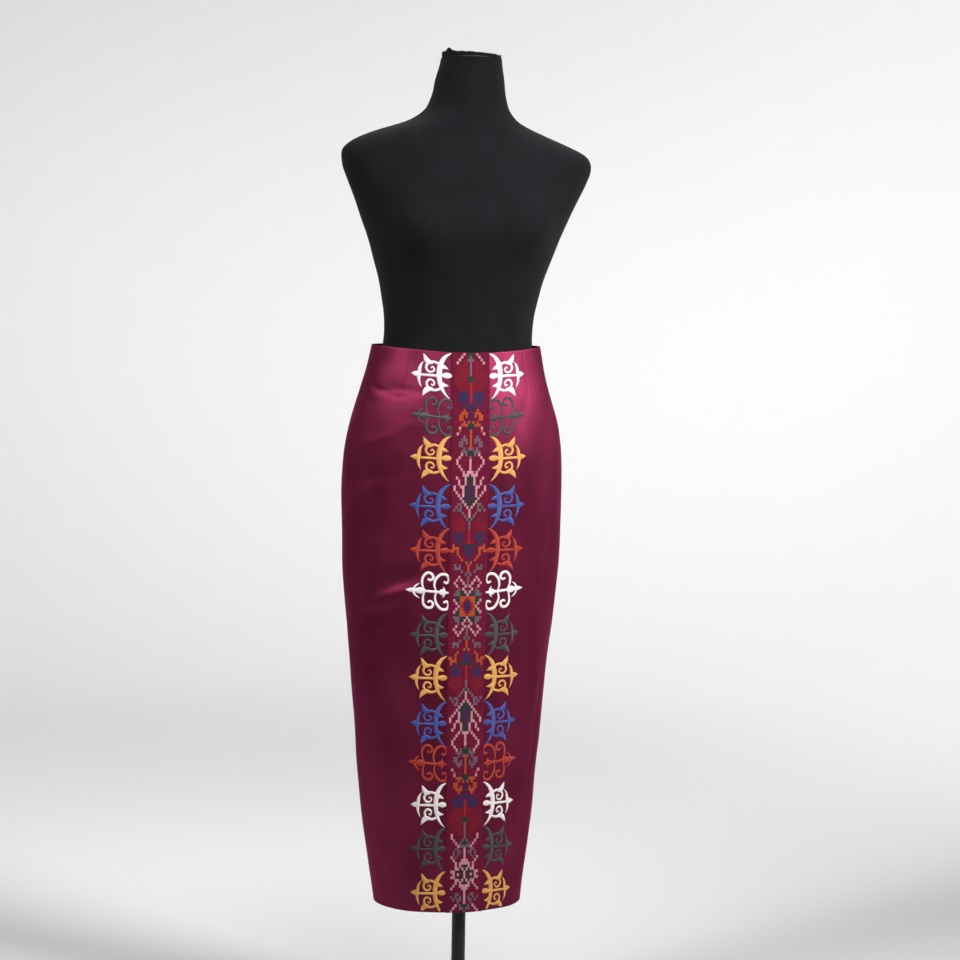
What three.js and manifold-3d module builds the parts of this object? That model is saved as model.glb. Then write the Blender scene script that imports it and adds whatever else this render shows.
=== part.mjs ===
// A long, narrow satin skirt with a woven strip down its centre front, shown on a limbless
// dress form that stands on a pole and a round base.
// Millimetres, +Z up, the front faces -Y, +X is the wearer's left. The origin is on the floor
// under the pole. A "turn" is an angle round the body in degrees: 0 at centre front, 90 at the
// wearer's left side, 180 at centre back. "up" is a height above the skirt's hem.

import * as THREE from "three";
import { mergeVertices } from "three/addons/utils/BufferGeometryUtils.js";
import Module from "manifold-3d";

const wasm = await Module();
wasm.setup();

// ---------------------------------------------------------------- driving dimensions

const PIECE_GAP = 0.3; // between pieces that are sewn or stand together
const RADIANS = Math.PI / 180;

const HEM_HEIGHT = 210; // of the hem above the floor
const SKIRT_LENGTH = 885; // hem to waist edge, at the side seam
const WAIST_DIP = 9; // how much lower the waist edge is at centre front
const SATIN_WALL = 1.5; // heavy satin with its facing pressed flat behind it
const RING_SQUARENESS = 2.15; // exponent of every ring round the body: 2 is an ellipse

const DART_TURN = 48.5; // front darts, from centre front
const DART_LENGTH = 78;
const BACK_DART_TURN = 138;
const BACK_DART_LENGTH = 115;
const DART_DEPTH = 0.7; // how far a stitched dart line sinks
const DART_HALF_TURN = 1.1; // from a dart line to the flat cloth beside it

const STRIP_WIDTH = 60; // the woven strip
const STRIP_WALL = 1;

const VENT_HEIGHT = 235; // the opening at centre back that leaves room to walk
const VENT_GAP = 9; // how far its edges part at the hem
const UNDERLAP_WIDTH = 62;
const UNDERLAP_RISE = 20; // the underlap goes this far above the vent
const UNDERLAP_ASIDE = 12; // its middle, towards the wearer's left

// Rings of the skirt: half its width, and its depth before and behind the pole. "aside" is how
// far the ring hangs off centre.
const SKIRT_RINGS = [
  { up: 0, half: 118, front: 97, back: 92, aside: -15.5 },
  { up: 111, half: 133, front: 101, back: 96, aside: -17.5 },
  { up: 200, half: 142, front: 104.5, back: 100, aside: -18.5 },
  { up: 290, half: 150, front: 107.5, back: 104, aside: -18.5 },
  { up: 380, half: 157.5, front: 110.5, back: 110, aside: -18 },
  { up: 467, half: 166, front: 113.5, back: 119, aside: -17 },
  { up: 555, half: 173, front: 116, back: 129, aside: -16.5 },
  { up: 644, half: 176, front: 118, back: 134, aside: -16.5 },
  { up: 711, half: 173, front: 118, back: 130, aside: -16 },
  { up: 755, half: 166, front: 116, back: 123, aside: -15.5 },
  { up: 800, half: 155, front: 112, back: 114, aside: -15 },
  { up: 844, half: 142.5, front: 106, back: 105, aside: -14.5 },
  { up: 885, half: 134, front: 100, back: 98, aside: -14 },
];

// The largest soft folds: where the middle is, half its length and half its width, how far it
// stands out of the cloth (a trough sinks), and how steeply it runs, from level.
const FOLDS = [
  { turn: -63, up: 834, run: 52, wide: 15, lift: 2.4, lean: 3 }, // left hip, under the facing's edge
  { turn: -58, up: 808, run: 46, wide: 14, lift: 1.6, lean: 6 },
  { turn: -47, up: 500, run: 52, wide: 19, lift: 3, lean: 32 }, // thigh, drawn towards the strip
  { turn: -50, up: 552, run: 44, wide: 17, lift: 2.4, lean: 10 },
  { turn: -72, up: 428, run: 46, wide: 18, lift: 2.2, lean: -6 },
  { turn: -40, up: 250, run: 70, wide: 20, lift: 2, lean: 74 },
  { turn: 57, up: 330, run: 110, wide: 17, lift: 3.2, lean: 86 }, // long fold beside the strip
  { turn: 70, up: 470, run: 90, wide: 18, lift: 2.2, lean: 80 },
  { turn: 74, up: 752, run: 40, wide: 17, lift: 1.8, lean: 60 }, // left hip bone side
  { turn: 142, up: 530, run: 62, wide: 20, lift: 3, lean: -18 }, // under the seat
  { turn: -146, up: 520, run: 62, wide: 20, lift: 2.8, lean: 20 },
  { turn: 160, up: 330, run: 80, wide: 20, lift: 2.4, lean: 68 },
  { turn: -158, up: 370, run: 86, wide: 20, lift: 2.4, lean: -72 },
];

// The form's lowest rings lie just inside the skirt, which rests on the widest of them. Each
// row says how far the form stays clear of the cloth at the sides, in front and behind.
const SEAT_RINGS = [
  { up: 552, side: 23, front: 17, back: 23 },
  { up: 566, side: 11, front: 9, back: 11 },
  { up: 598, side: 3.5, front: 4, back: 3.5 },
  { up: 644, side: 0.6, front: 2, back: 0.6 },
  { up: 690, side: 0.5, front: 1.5, back: 0.5 },
  { up: 720, side: 0.6, front: 1.6, back: 0.8 },
  { up: 750, side: 1.4, front: 2.6, back: 2 },
  { up: 780, side: 3.6, front: 4.6, back: 4 },
  { up: 810, side: 7, front: 7, back: 7 },
  { up: 840, side: 10.5, front: 9.5, back: 10 },
];

// The form's other rings, by height above the floor. The form leans a little on its pole, so
// its rings have an "aside" too. "square" is the ring's exponent.
const FORM_RINGS = [
  { height: 1075, half: 122, front: 87.5, back: 85, aside: -12.5, square: 2.12 },
  { height: 1100, half: 118.5, front: 84.5, back: 82, aside: -11, square: 2.1 },
  { height: 1141, half: 119.5, front: 88, back: 84, aside: -9.5, square: 2.1 },
  { height: 1169, half: 124.5, front: 93, back: 88, aside: -8.5, square: 2.1 },
  { height: 1197, half: 130.5, front: 99, back: 93, aside: -7.5, square: 2.1 },
  { height: 1228, half: 140, front: 104, back: 98, aside: -6.5, square: 2.1 },
  { height: 1260, half: 150.5, front: 107, back: 102, aside: -5, square: 2.1 },
  { height: 1291, half: 164, front: 106, back: 104, aside: -3, square: 2.08 },
  { height: 1323, half: 178, front: 101, back: 102, aside: -0.5, square: 2.05 },
  { height: 1353, half: 192, front: 94, back: 97, aside: 1, square: 2 },
  { height: 1372, half: 199, front: 88, back: 92, aside: 1, square: 2 },
  { height: 1385, half: 199.5, front: 84, back: 88, aside: -0.5, square: 2 },
  { height: 1397, half: 194, front: 80, back: 84, aside: -5, square: 2 },
  { height: 1407, half: 179, front: 77, back: 80, aside: -11, square: 2 },
  { height: 1418, half: 156, front: 74, back: 76, aside: -15, square: 2 },
  { height: 1430, half: 125, front: 71, back: 71, aside: -14, square: 2 },
  { height: 1442, half: 93, front: 68.5, back: 64, aside: -8, square: 2 },
  { height: 1458, half: 70.5, front: 66, back: 57, aside: -2.5, square: 2 },
  { height: 1480, half: 59.5, front: 64, back: 50, aside: 0, square: 2 },
  { height: 1510, half: 54, front: 62, back: 44, aside: 1.5, square: 2 },
  { height: 1532, half: 49, front: 60, back: 39, aside: 3, square: 2 },
  { height: 1542, half: 47.5, front: 60, back: 37, aside: 3.5, square: 2 },
];
const BUST = { height: 1273, aside: 74, tall: 47, wide: 50, lift: 20 };

const COVER_WALL = 1.2; // the form's jersey cover, turned up round the neck
const COVER_RISE = 6;
const COVER_SLANT = 3; // its edge is this much higher at the wearer's right, and lower at the left
const COVER_INSET = 1.2;
// Where the cover's loose edge stands up in small peaks.
const COVER_PEAKS = [
  { turn: -58, spread: 9, rise: 5 },
  { turn: 68, spread: 8, rise: 3 },
  { turn: 152, spread: 10, rise: 2.5 },
];

const POLE_ASIDE = 5; // the pole stands this far off centre, towards the wearer's left
const POLE_RADIUS = 11;
const POLE_TOP = 835;
const SOCKET_CLEARANCE = 0.3;
const SOCKET_TOP = POLE_TOP + 0.3;
const BASE_RADIUS = 170;
const BASE_THICKNESS = 8;
const BASE_EDGE = 3; // rounding of the base's rim
const BOSS_RADIUS = 20;
const BOSS_HEIGHT = 46;
const BOSS_FLOOR = 5; // metal left under the pole

const SLIDER_DROP = 13; // the pull's pivot, below the waist edge
const SLIDER = { width: 5, height: 10, thick: 1.2 };
const BRIDGE = { width: 2.2, hole_deep: 2.4, hole_tall: 2.6, bar: 1.2 };
const PULL = { width: 6.4, length: 25, thick: 1.2, window: 3.6, window_end: 5.4, waist: 7, tip: 2.4 };

// ---------------------------------------------------------------- colours and finishes

const finish = (color, roughness, metalness = 0) =>
  new THREE.MeshStandardMaterial({ color, roughness, metalness });
const SATIN = finish(0x6d1a3c, 0.38);
const WEAVE = finish(0x7a2334, 0.8);
const JERSEY = finish(0x17181b, 0.92);
const BLACK_STEEL = finish(0x1b1a1a, 0.45, 0.6);
const DYED_ZIP = finish(0x5f1a38, 0.35, 0.5);

// ---------------------------------------------------------------- shared shape functions

// A smooth curve through the rows of a table: the value of one column at a place along another.
function smoothColumn(rows, along, column, at) {
  const last = rows.length - 1;
  const slope = (i) => {
    const a = rows[Math.max(i - 1, 0)];
    const b = rows[Math.min(i + 1, last)];
    return (b[column] - a[column]) / (b[along] - a[along]);
  };
  let i = rows.findIndex((row) => row[along] > at) - 1;
  if (i === -2) i = last - 1;
  i = Math.max(i, 0);
  const [a, b] = [rows[i], rows[i + 1]];
  const span = b[along] - a[along];
  const t = THREE.MathUtils.clamp((at - a[along]) / span, 0, 1);
  const [t2, t3] = [t * t, t * t * t];
  return (
    (2 * t3 - 3 * t2 + 1) * a[column] +
    (t3 - 2 * t2 + t) * span * slope(i) +
    (3 * t2 - 2 * t3) * b[column] +
    (t3 - t2) * span * slope(i + 1)
  );
}

// Distance from a ring's middle to its edge: half wide, depth deep, more square as the exponent grows.
function ringReach(turn, half, depth, square) {
  const across = Math.abs(Math.sin(turn * RADIANS)) / half;
  const deep = Math.abs(Math.cos(turn * RADIANS)) / depth;
  return (across ** square + deep ** square) ** (-1 / square);
}

function ringPoint(turn, ring, height) {
  const depth = Math.cos(turn * RADIANS) > 0 ? ring.front : ring.back;
  const reach = ringReach(turn, ring.half, depth, ring.square) + (ring.lift ?? 0);
  return new THREE.Vector3(
    (ring.aside ?? 0) + reach * Math.sin(turn * RADIANS),
    -reach * Math.cos(turn * RADIANS),
    height,
  );
}

const evenly = (from, to, count) =>
  Array.from({ length: count + 1 }, (_, i) => from + ((to - from) * i) / count);

// A closed wall from two grids of points with the same rows and columns: an outer and an inner face.
function wallGeometry(outer, inner) {
  const [rows, columns] = [outer.length, outer[0].length];
  const points = [...outer.flat(), ...inner.flat()];
  const outside = (r, c) => r * columns + c;
  const inside = (r, c) => (rows + r) * columns + c;
  const index = [];
  const quad = (a, b, c, d) => index.push(a, b, c, a, c, d);
  for (let r = 0; r < rows - 1; r++)
    for (let c = 0; c < columns - 1; c++) {
      quad(outside(r, c), outside(r, c + 1), outside(r + 1, c + 1), outside(r + 1, c));
      quad(inside(r, c), inside(r + 1, c), inside(r + 1, c + 1), inside(r, c + 1));
    }
  for (let c = 0; c < columns - 1; c++) {
    quad(outside(0, c), inside(0, c), inside(0, c + 1), outside(0, c + 1));
    const top = rows - 1;
    quad(outside(top, c), outside(top, c + 1), inside(top, c + 1), inside(top, c));
  }
  for (let r = 0; r < rows - 1; r++) {
    quad(outside(r, 0), outside(r + 1, 0), inside(r + 1, 0), inside(r, 0));
    const end = columns - 1;
    quad(outside(r, end), inside(r, end), inside(r + 1, end), outside(r + 1, end));
  }
  return geometryOf(points, index);
}

// A closed solid from rings of points stacked upwards, with a flat face at each end.
function stackGeometry(rings) {
  const sides = rings[0].length;
  const points = rings.flat();
  const index = [];
  rings.slice(1).forEach((_, r) => {
    for (let c = 0; c < sides; c++) {
      const next = (c + 1) % sides;
      const [a, b] = [r * sides + c, r * sides + next];
      index.push(a, b, b + sides, a, b + sides, a + sides);
    }
  });
  const lid = (first, facesUp) => {
    for (let c = 1; c < sides - 1; c++)
      index.push(...(facesUp ? [first, first + c, first + c + 1] : [first, first + c + 1, first + c]));
  };
  lid(0, false);
  lid((rings.length - 1) * sides, true);
  return geometryOf(points, index);
}

function geometryOf(points, index) {
  const geometry = new THREE.BufferGeometry();
  geometry.setAttribute(
    "position",
    new THREE.Float32BufferAttribute(points.flatMap((p) => [p.x, p.y, p.z]), 3),
  );
  geometry.setIndex(index);
  geometry.computeVertexNormals();
  return geometry;
}

// ---------------------------------------------------------------- joins and cuts

function solidOf(geometry) {
  const bare = geometry.clone();
  bare.deleteAttribute("normal");
  bare.deleteAttribute("uv");
  const merged = mergeVertices(bare, 1e-4);
  return new wasm.Manifold(
    new wasm.Mesh({
      numProp: 3,
      vertProperties: new Float32Array(merged.attributes.position.array),
      triVerts: new Uint32Array(merged.index.array),
    }),
  );
}

function geometryFrom(solid) {
  const mesh = solid.getMesh();
  const geometry = new THREE.BufferGeometry();
  geometry.setAttribute("position", new THREE.BufferAttribute(mesh.vertProperties, 3));
  geometry.setIndex(new THREE.BufferAttribute(mesh.triVerts, 1));
  geometry.computeVertexNormals();
  return geometry;
}

function part(name, geometry, material) {
  const mesh = new THREE.Mesh(geometry, material);
  mesh.name = name;
  return mesh;
}

// ---------------------------------------------------------------- the skirt's surface

// How far the cloth stands out of its plain ring at a point, from every fold near it.
function foldLift(turn, up, reach) {
  return FOLDS.reduce((sum, fold) => {
    const aside = (turn - fold.turn) * RADIANS * reach;
    const above = up - fold.up;
    const [cos, sin] = [Math.cos(fold.lean * RADIANS), Math.sin(fold.lean * RADIANS)];
    const along = (aside * cos + above * sin) / fold.run;
    const across = (above * cos - aside * sin) / fold.wide;
    return sum + fold.lift * Math.exp(-along * along - across * across);
  }, 0);
}

// The top of the skirt dips at centre front, and every row below it dips in proportion.
function rowHeight(turn, up) {
  const facing = Math.max(Math.cos(turn * RADIANS), 0);
  return up - ((WAIST_DIP * up) / SKIRT_LENGTH) * facing * facing;
}

function skirtPoint(turn, up) {
  const ring = { square: RING_SQUARENESS };
  for (const column of ["half", "front", "back", "aside"])
    ring[column] = smoothColumn(SKIRT_RINGS, "up", column, up);
  const depth = Math.cos(turn * RADIANS) > 0 ? ring.front : ring.back;
  ring.lift = foldLift(turn, up, ringReach(turn, ring.half, depth, ring.square));
  return ringPoint(turn, ring, HEM_HEIGHT + rowHeight(turn, up));
}

// A point of the skirt, moved straight out of the cloth.
function clothPoint(turn, up, out) {
  const step = 0.5;
  const round = skirtPoint(turn + step, up).sub(skirtPoint(turn - step, up));
  const rise = skirtPoint(turn, Math.min(up + 2 * step, SKIRT_LENGTH)).sub(
    skirtPoint(turn, Math.max(up - 2 * step, 0)),
  );
  return skirtPoint(turn, up).addScaledVector(round.cross(rise).normalize(), out);
}

// The turn of a line that runs at a fixed distance from centre front or centre back.
function turnAt(aside, up, behind = false) {
  const half = smoothColumn(SKIRT_RINGS, "up", "half", up);
  const depth = smoothColumn(SKIRT_RINGS, "up", behind ? "back" : "front", up);
  const share = (Math.abs(aside) / half) ** RING_SQUARENESS;
  const deep = depth * (1 - share) ** (1 / RING_SQUARENESS);
  const turn = Math.atan2(aside, deep) / RADIANS;
  return behind ? 180 - turn : turn;
}

// Heights of the skirt's rows: closer together where the waist and the hips curve.
const HIP_UP = 690;
const ROWS = [...evenly(0, HIP_UP, 15), ...evenly(HIP_UP, SKIRT_LENGTH, 13).slice(1)];

// Half the gap at a side seam, as a turn.
const SEAM_TURN = PIECE_GAP / 2 / 150 / RADIANS;

// How far a stitched dart sinks at a height.
function dartSink(up, length) {
  const share = THREE.MathUtils.clamp((up - (SKIRT_LENGTH - length)) / length, 0, 1);
  return DART_DEPTH * Math.sqrt(share);
}

// Turns of a panel's columns, with three close together at each dart line.
function columnsWithDarts(from, to, count, darts) {
  const clear = (to - from) / count / 2;
  const plain = evenly(from, to, count).filter((turn) =>
    darts.every((dart) => Math.abs(turn - dart) > Math.max(Math.abs(clear), DART_HALF_TURN)),
  );
  const close = darts.flatMap((dart) => [dart - DART_HALF_TURN, dart, dart + DART_HALF_TURN]);
  return [...plain, ...close].sort((a, b) => a - b);
}

// One panel of cloth: placeOf gives each column's turn at a height, sinkOf its dart.
function panelGeometry(columns, placeOf, sinkOf) {
  const face = (out) =>
    ROWS.map((up) => columns.map((c) => clothPoint(placeOf(c, up), up, out - sinkOf(c, up))));
  return wallGeometry(face(0), face(-SATIN_WALL));
}

// ---------------------------------------------------------------- the skirt's pieces

// Front: one panel from side seam to side seam, with two waist darts.
function skirtFront() {
  const side = 90 - SEAM_TURN;
  const darts = [-DART_TURN, DART_TURN];
  const columns = columnsWithDarts(-side, side, 24, darts);
  const sink = (turn, up) => (darts.includes(turn) ? dartSink(up, DART_LENGTH) : 0);
  return panelGeometry(columns, (turn) => turn, sink);
}

// Half the width of the opening at centre back: a seam down to the vent, then a narrow wedge.
function backOpening(up) {
  const open = Math.max(1 - up / VENT_HEIGHT, 0);
  return PIECE_GAP / 2 + ((VENT_GAP - PIECE_GAP) / 2) * open;
}

// Back, one side: a panel from the side seam to centre back, with one waist dart.
// side is 1 for the wearer's left and -1 for the right.
function skirtBack(side) {
  const columns = columnsWithDarts(90 + SEAM_TURN, 180, 12, [BACK_DART_TURN]);
  const place = (turn, up) => {
    const end = turnAt(backOpening(up), up, true);
    const share = (turn - columns[0]) / (180 - columns[0]);
    const pulled = turn + (end - 180) * share ** 6;
    return side * pulled;
  };
  const sink = (turn, up) => (turn === BACK_DART_TURN ? dartSink(up, BACK_DART_LENGTH) : 0);
  const ordered = side > 0 ? columns : [...columns].reverse();
  return panelGeometry(ordered, place, sink);
}

// Woven strip: a narrow band laid on the front panel, made from the panel's own surface.
function langkitStrip() {
  const asides = evenly(-STRIP_WIDTH / 2, STRIP_WIDTH / 2, 4);
  const face = (out) =>
    ROWS.map((up) => asides.map((aside) => clothPoint(turnAt(aside, up), up, out)));
  return wallGeometry(face(PIECE_GAP + STRIP_WALL), face(PIECE_GAP));
}

// Underlap: the flap of satin behind the vent, sewn to the wearer's right back panel.
function ventUnderlap() {
  const asides = evenly(UNDERLAP_ASIDE + UNDERLAP_WIDTH / 2, UNDERLAP_ASIDE - UNDERLAP_WIDTH / 2, 4);
  const rows = evenly(0, VENT_HEIGHT + UNDERLAP_RISE, 7);
  const outer = -SATIN_WALL - PIECE_GAP;
  const face = (out) =>
    rows.map((up) => asides.map((aside) => clothPoint(turnAt(aside, up, true), up, out)));
  return wallGeometry(face(outer), face(outer - SATIN_WALL));
}

// ---------------------------------------------------------------- the zip at centre back

// Slider: a plate that lies on the closed seam, with a bridge that carries the pull.
// Its own frame has the pull's pivot at the origin and +Y pointing out of the cloth.
function zipSlider() {
  const bridgeOut = BRIDGE.hole_deep / 2 + BRIDGE.bar;
  const bridgeTall = BRIDGE.hole_tall / 2 + BRIDGE.bar;
  const outline = new THREE.Shape();
  outline.moveTo(-bridgeOut, -bridgeTall);
  outline.lineTo(bridgeOut - 1, -bridgeTall);
  outline.quadraticCurveTo(bridgeOut, -bridgeTall, bridgeOut, 1 - bridgeTall);
  outline.lineTo(bridgeOut, bridgeTall - 1);
  outline.quadraticCurveTo(bridgeOut, bridgeTall, bridgeOut - 1, bridgeTall);
  outline.lineTo(-bridgeOut, bridgeTall);
  outline.closePath();
  const hole = new THREE.Path();
  hole.moveTo(-BRIDGE.hole_deep / 2, -BRIDGE.hole_tall / 2);
  hole.lineTo(-BRIDGE.hole_deep / 2, BRIDGE.hole_tall / 2);
  hole.lineTo(BRIDGE.hole_deep / 2, BRIDGE.hole_tall / 2);
  hole.lineTo(BRIDGE.hole_deep / 2, -BRIDGE.hole_tall / 2);
  hole.closePath();
  outline.holes.push(hole);
  const options = { depth: BRIDGE.width, bevelEnabled: false, curveSegments: 3 };
  const bridge = new THREE.ExtrudeGeometry(outline, options);
  bridge.translate(0, 0, -BRIDGE.width / 2);
  // The outline's x becomes +Y and its y becomes +Z.
  bridge.applyMatrix4(new THREE.Matrix4().makeBasis(
    new THREE.Vector3(0, 1, 0),
    new THREE.Vector3(0, 0, 1),
    new THREE.Vector3(1, 0, 0),
  ));
  const plate = new THREE.BoxGeometry(SLIDER.width, SLIDER.thick, SLIDER.height);
  plate.translate(0, -BRIDGE.hole_deep / 2 - SLIDER.thick / 2, -SLIDER.height / 6);
  return geometryFrom(solidOf(bridge).add(solidOf(plate)));
}

// Pull: a flat drop-shaped tab that hangs from the bridge by its window.
function zipPull() {
  const top = PULL.thick / 2;
  const outline = new THREE.Shape();
  outline.moveTo(-PULL.width / 2, top - 0.6);
  outline.quadraticCurveTo(-PULL.width / 2, top, 0.6 - PULL.width / 2, top);
  outline.lineTo(PULL.width / 2 - 0.6, top);
  outline.quadraticCurveTo(PULL.width / 2, top, PULL.width / 2, top - 0.6);
  outline.lineTo(PULL.width / 2, -PULL.waist);
  outline.quadraticCurveTo(PULL.tip, -PULL.length * 0.6, PULL.tip, 1 - PULL.length);
  outline.quadraticCurveTo(PULL.tip, -PULL.length, 0, -PULL.length);
  outline.quadraticCurveTo(-PULL.tip, -PULL.length, -PULL.tip, 1 - PULL.length);
  outline.quadraticCurveTo(-PULL.tip, -PULL.length * 0.6, -PULL.width / 2, -PULL.waist);
  outline.closePath();
  const window = new THREE.Path();
  window.moveTo(-PULL.window / 2, -top);
  window.lineTo(-PULL.window / 2, -PULL.window_end);
  window.lineTo(PULL.window / 2, -PULL.window_end);
  window.lineTo(PULL.window / 2, -top);
  window.closePath();
  outline.holes.push(window);
  const options = { depth: PULL.thick, bevelEnabled: false, curveSegments: 5 };
  const tab = new THREE.ExtrudeGeometry(outline, options);
  tab.translate(0, 0, -PULL.thick / 2);
  tab.rotateX(Math.PI / 2);
  return tab;
}

// Both zip pieces share one frame on the cloth: the pivot, and the cloth's slope there.
function zipFrame() {
  const up = SKIRT_LENGTH - SLIDER_DROP;
  const standOff = PIECE_GAP + SLIDER.thick + BRIDGE.hole_deep / 2;
  const [low, high] = [clothPoint(180, up - 10, 0), clothPoint(180, up, 0)];
  const slope = Math.atan2(low.y - high.y, high.z - low.z);
  const group = new THREE.Group();
  group.position.copy(clothPoint(180, up, standOff));
  group.rotation.x = slope;
  group.add(part("zip_slider", zipSlider(), DYED_ZIP));
  group.add(part("zip_pull", zipPull(), DYED_ZIP));
  return group;
}

// ---------------------------------------------------------------- the dress form

function seatRing(row) {
  const column = (name) => smoothColumn(SKIRT_RINGS, "up", name, row.up);
  return {
    height: HEM_HEIGHT + row.up,
    half: column("half") - SATIN_WALL - row.side,
    front: column("front") - SATIN_WALL - row.front,
    back: column("back") - SATIN_WALL - row.back,
    aside: column("aside"),
    square: RING_SQUARENESS,
  };
}

// How far the bust stands out of a plain ring of the form.
function bustLift(point, ring) {
  if (point.y > 0) return 0;
  const above = (ring.height - BUST.height) / BUST.tall;
  return [-1, 1].reduce((sum, side) => {
    const aside = (point.x - ring.aside - side * BUST.aside) / BUST.wide;
    return sum + BUST.lift * Math.exp(-above * above - aside * aside);
  }, 0);
}

function formPoint(turn, ring) {
  const lift = bustLift(ringPoint(turn, ring, ring.height), ring);
  return ringPoint(turn, { ...ring, lift }, ring.height);
}

const FORM_SIDES = 48;

// Torso: neck to hip, smooth and limbless, with a blind socket underneath for the pole.
function formTorso() {
  const turns = evenly(0, 360, FORM_SIDES).slice(0, -1);
  const allRings = [...SEAT_RINGS.map(seatRing), ...FORM_RINGS];
  const rings = allRings.map((ring) => turns.map((turn) => formPoint(turn, ring)));
  const socketBottom = allRings[0].height - 10;
  const socket = new THREE.CylinderGeometry(
    POLE_RADIUS + SOCKET_CLEARANCE,
    POLE_RADIUS + SOCKET_CLEARANCE,
    SOCKET_TOP - socketBottom,
    24,
  );
  socket.rotateX(Math.PI / 2);
  socket.translate(POLE_ASIDE, 0, (SOCKET_TOP + socketBottom) / 2);
  return geometryFrom(solidOf(stackGeometry(rings)).subtract(solidOf(socket)));
}

// Cover edge: the raw edge of the jersey cover, which stands up unevenly round the neck.
function coverEdge() {
  const neck = FORM_RINGS[FORM_RINGS.length - 1];
  const bottom = neck.height + PIECE_GAP;
  const rise = (turn) =>
    COVER_PEAKS.reduce((sum, peak) => {
      const away = ((((turn - peak.turn) % 360) + 540) % 360) - 180;
      return sum + peak.rise * Math.exp(-((away / peak.spread) ** 2));
    }, COVER_RISE - COVER_SLANT * Math.sin(turn * RADIANS));
  const place = (turn, inset, height) => ringPoint(turn, { ...neck, lift: -inset }, height);
  const turns = evenly(0, 360, FORM_SIDES).slice(0, -1);
  const inner = COVER_INSET + COVER_WALL;
  const rings = [
    turns.map((turn) => place(turn, inner, bottom)),
    turns.map((turn) => place(turn, COVER_INSET, bottom)),
    turns.map((turn) => place(turn, COVER_INSET, bottom + rise(turn))),
    turns.map((turn) => place(turn, inner, bottom + rise(turn))),
  ];
  const sides = turns.length;
  const index = [];
  rings.forEach((_, r) => {
    const above = (r + 1) % rings.length;
    for (let c = 0; c < sides; c++) {
      const next = (c + 1) % sides;
      const [a, b] = [r * sides + c, r * sides + next];
      const [d, e] = [above * sides + c, above * sides + next];
      index.push(a, b, e, a, e, d);
    }
  });
  return geometryOf(rings.flat(), index);
}

// ---------------------------------------------------------------- the stand

const turned = (profile, sides) => {
  const geometry = new THREE.LatheGeometry(profile.map(([r, h]) => new THREE.Vector2(r, h)), sides);
  geometry.rotateX(Math.PI / 2);
  geometry.translate(POLE_ASIDE, 0, 0);
  return geometry;
};

// Pole: a straight rod from the base's boss to the torso's socket.
function standPole() {
  const bottom = BOSS_FLOOR + PIECE_GAP;
  return turned([[0, bottom], [POLE_RADIUS, bottom], [POLE_RADIUS, POLE_TOP], [0, POLE_TOP]], 24);
}

// Base: a heavy round plate with a rounded rim and a boss that holds the pole.
function standBase() {
  const bore = POLE_RADIUS + SOCKET_CLEARANCE;
  const rim = evenly(0, 90, 3).map((angle) => [
    BASE_RADIUS - BASE_EDGE + BASE_EDGE * Math.cos(angle * RADIANS),
    BASE_THICKNESS - BASE_EDGE + BASE_EDGE * Math.sin(angle * RADIANS),
  ]);
  return turned([
    [0, 0],
    [BASE_RADIUS - 1, 0],
    [BASE_RADIUS, 1],
    ...rim,
    [BOSS_RADIUS + 2, BASE_THICKNESS],
    [BOSS_RADIUS, BASE_THICKNESS + 2],
    [BOSS_RADIUS, BOSS_HEIGHT - 1],
    [BOSS_RADIUS - 1, BOSS_HEIGHT],
    [bore, BOSS_HEIGHT],
    [bore, BOSS_FLOOR],
    [0, BOSS_FLOOR],
  ], 48);
}

// ---------------------------------------------------------------- the whole

const root = new THREE.Group();
root.add(
  part("skirt_front", skirtFront(), SATIN),
  part("skirt_back_left", skirtBack(1), SATIN),
  part("skirt_back_right", skirtBack(-1), SATIN),
  part("langkit_strip", langkitStrip(), WEAVE),
  part("vent_underlap", ventUnderlap(), SATIN),
  zipFrame(),
  part("form_torso", formTorso(), JERSEY),
  part("form_cover_edge", coverEdge(), JERSEY),
  part("stand_pole", standPole(), BLACK_STEEL),
  part("stand_base", standBase(), BLACK_STEEL),
);

export default root;
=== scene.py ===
import math
import random

import bpy
import numpy as np
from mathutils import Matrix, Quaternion, Vector


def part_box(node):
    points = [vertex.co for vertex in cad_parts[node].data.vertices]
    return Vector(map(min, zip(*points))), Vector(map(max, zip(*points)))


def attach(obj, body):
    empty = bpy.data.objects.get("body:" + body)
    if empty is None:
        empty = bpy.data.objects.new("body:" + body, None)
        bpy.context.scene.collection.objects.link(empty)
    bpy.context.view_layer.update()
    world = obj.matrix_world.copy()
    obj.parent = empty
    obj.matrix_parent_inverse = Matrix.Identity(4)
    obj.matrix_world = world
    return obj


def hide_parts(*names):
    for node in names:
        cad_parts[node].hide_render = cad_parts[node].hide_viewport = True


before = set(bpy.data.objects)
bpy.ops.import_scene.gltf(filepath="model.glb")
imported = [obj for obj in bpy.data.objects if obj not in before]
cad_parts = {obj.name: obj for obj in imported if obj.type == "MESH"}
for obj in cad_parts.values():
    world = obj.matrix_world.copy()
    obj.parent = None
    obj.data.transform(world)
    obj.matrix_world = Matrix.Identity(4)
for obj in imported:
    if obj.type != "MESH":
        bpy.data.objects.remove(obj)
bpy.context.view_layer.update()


# ---------------------------------------------------------------- the view
# A long lens four metres in front of the skirt, a little to the wearer's right and at
# chest height. Its numbers are given, and its roll makes the object lean one degree in the picture.

VIEW_DISTANCE = 4.0
VIEW_TURN = math.radians(-13)
VIEW_HEIGHT = 1.205
AIM_HEIGHT = 0.882
AIM_ASIDE = 0.0279  # the object stands this far left of the picture's middle
VIEW_ROLL = math.radians(0.92)
LENS = 95

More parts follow.
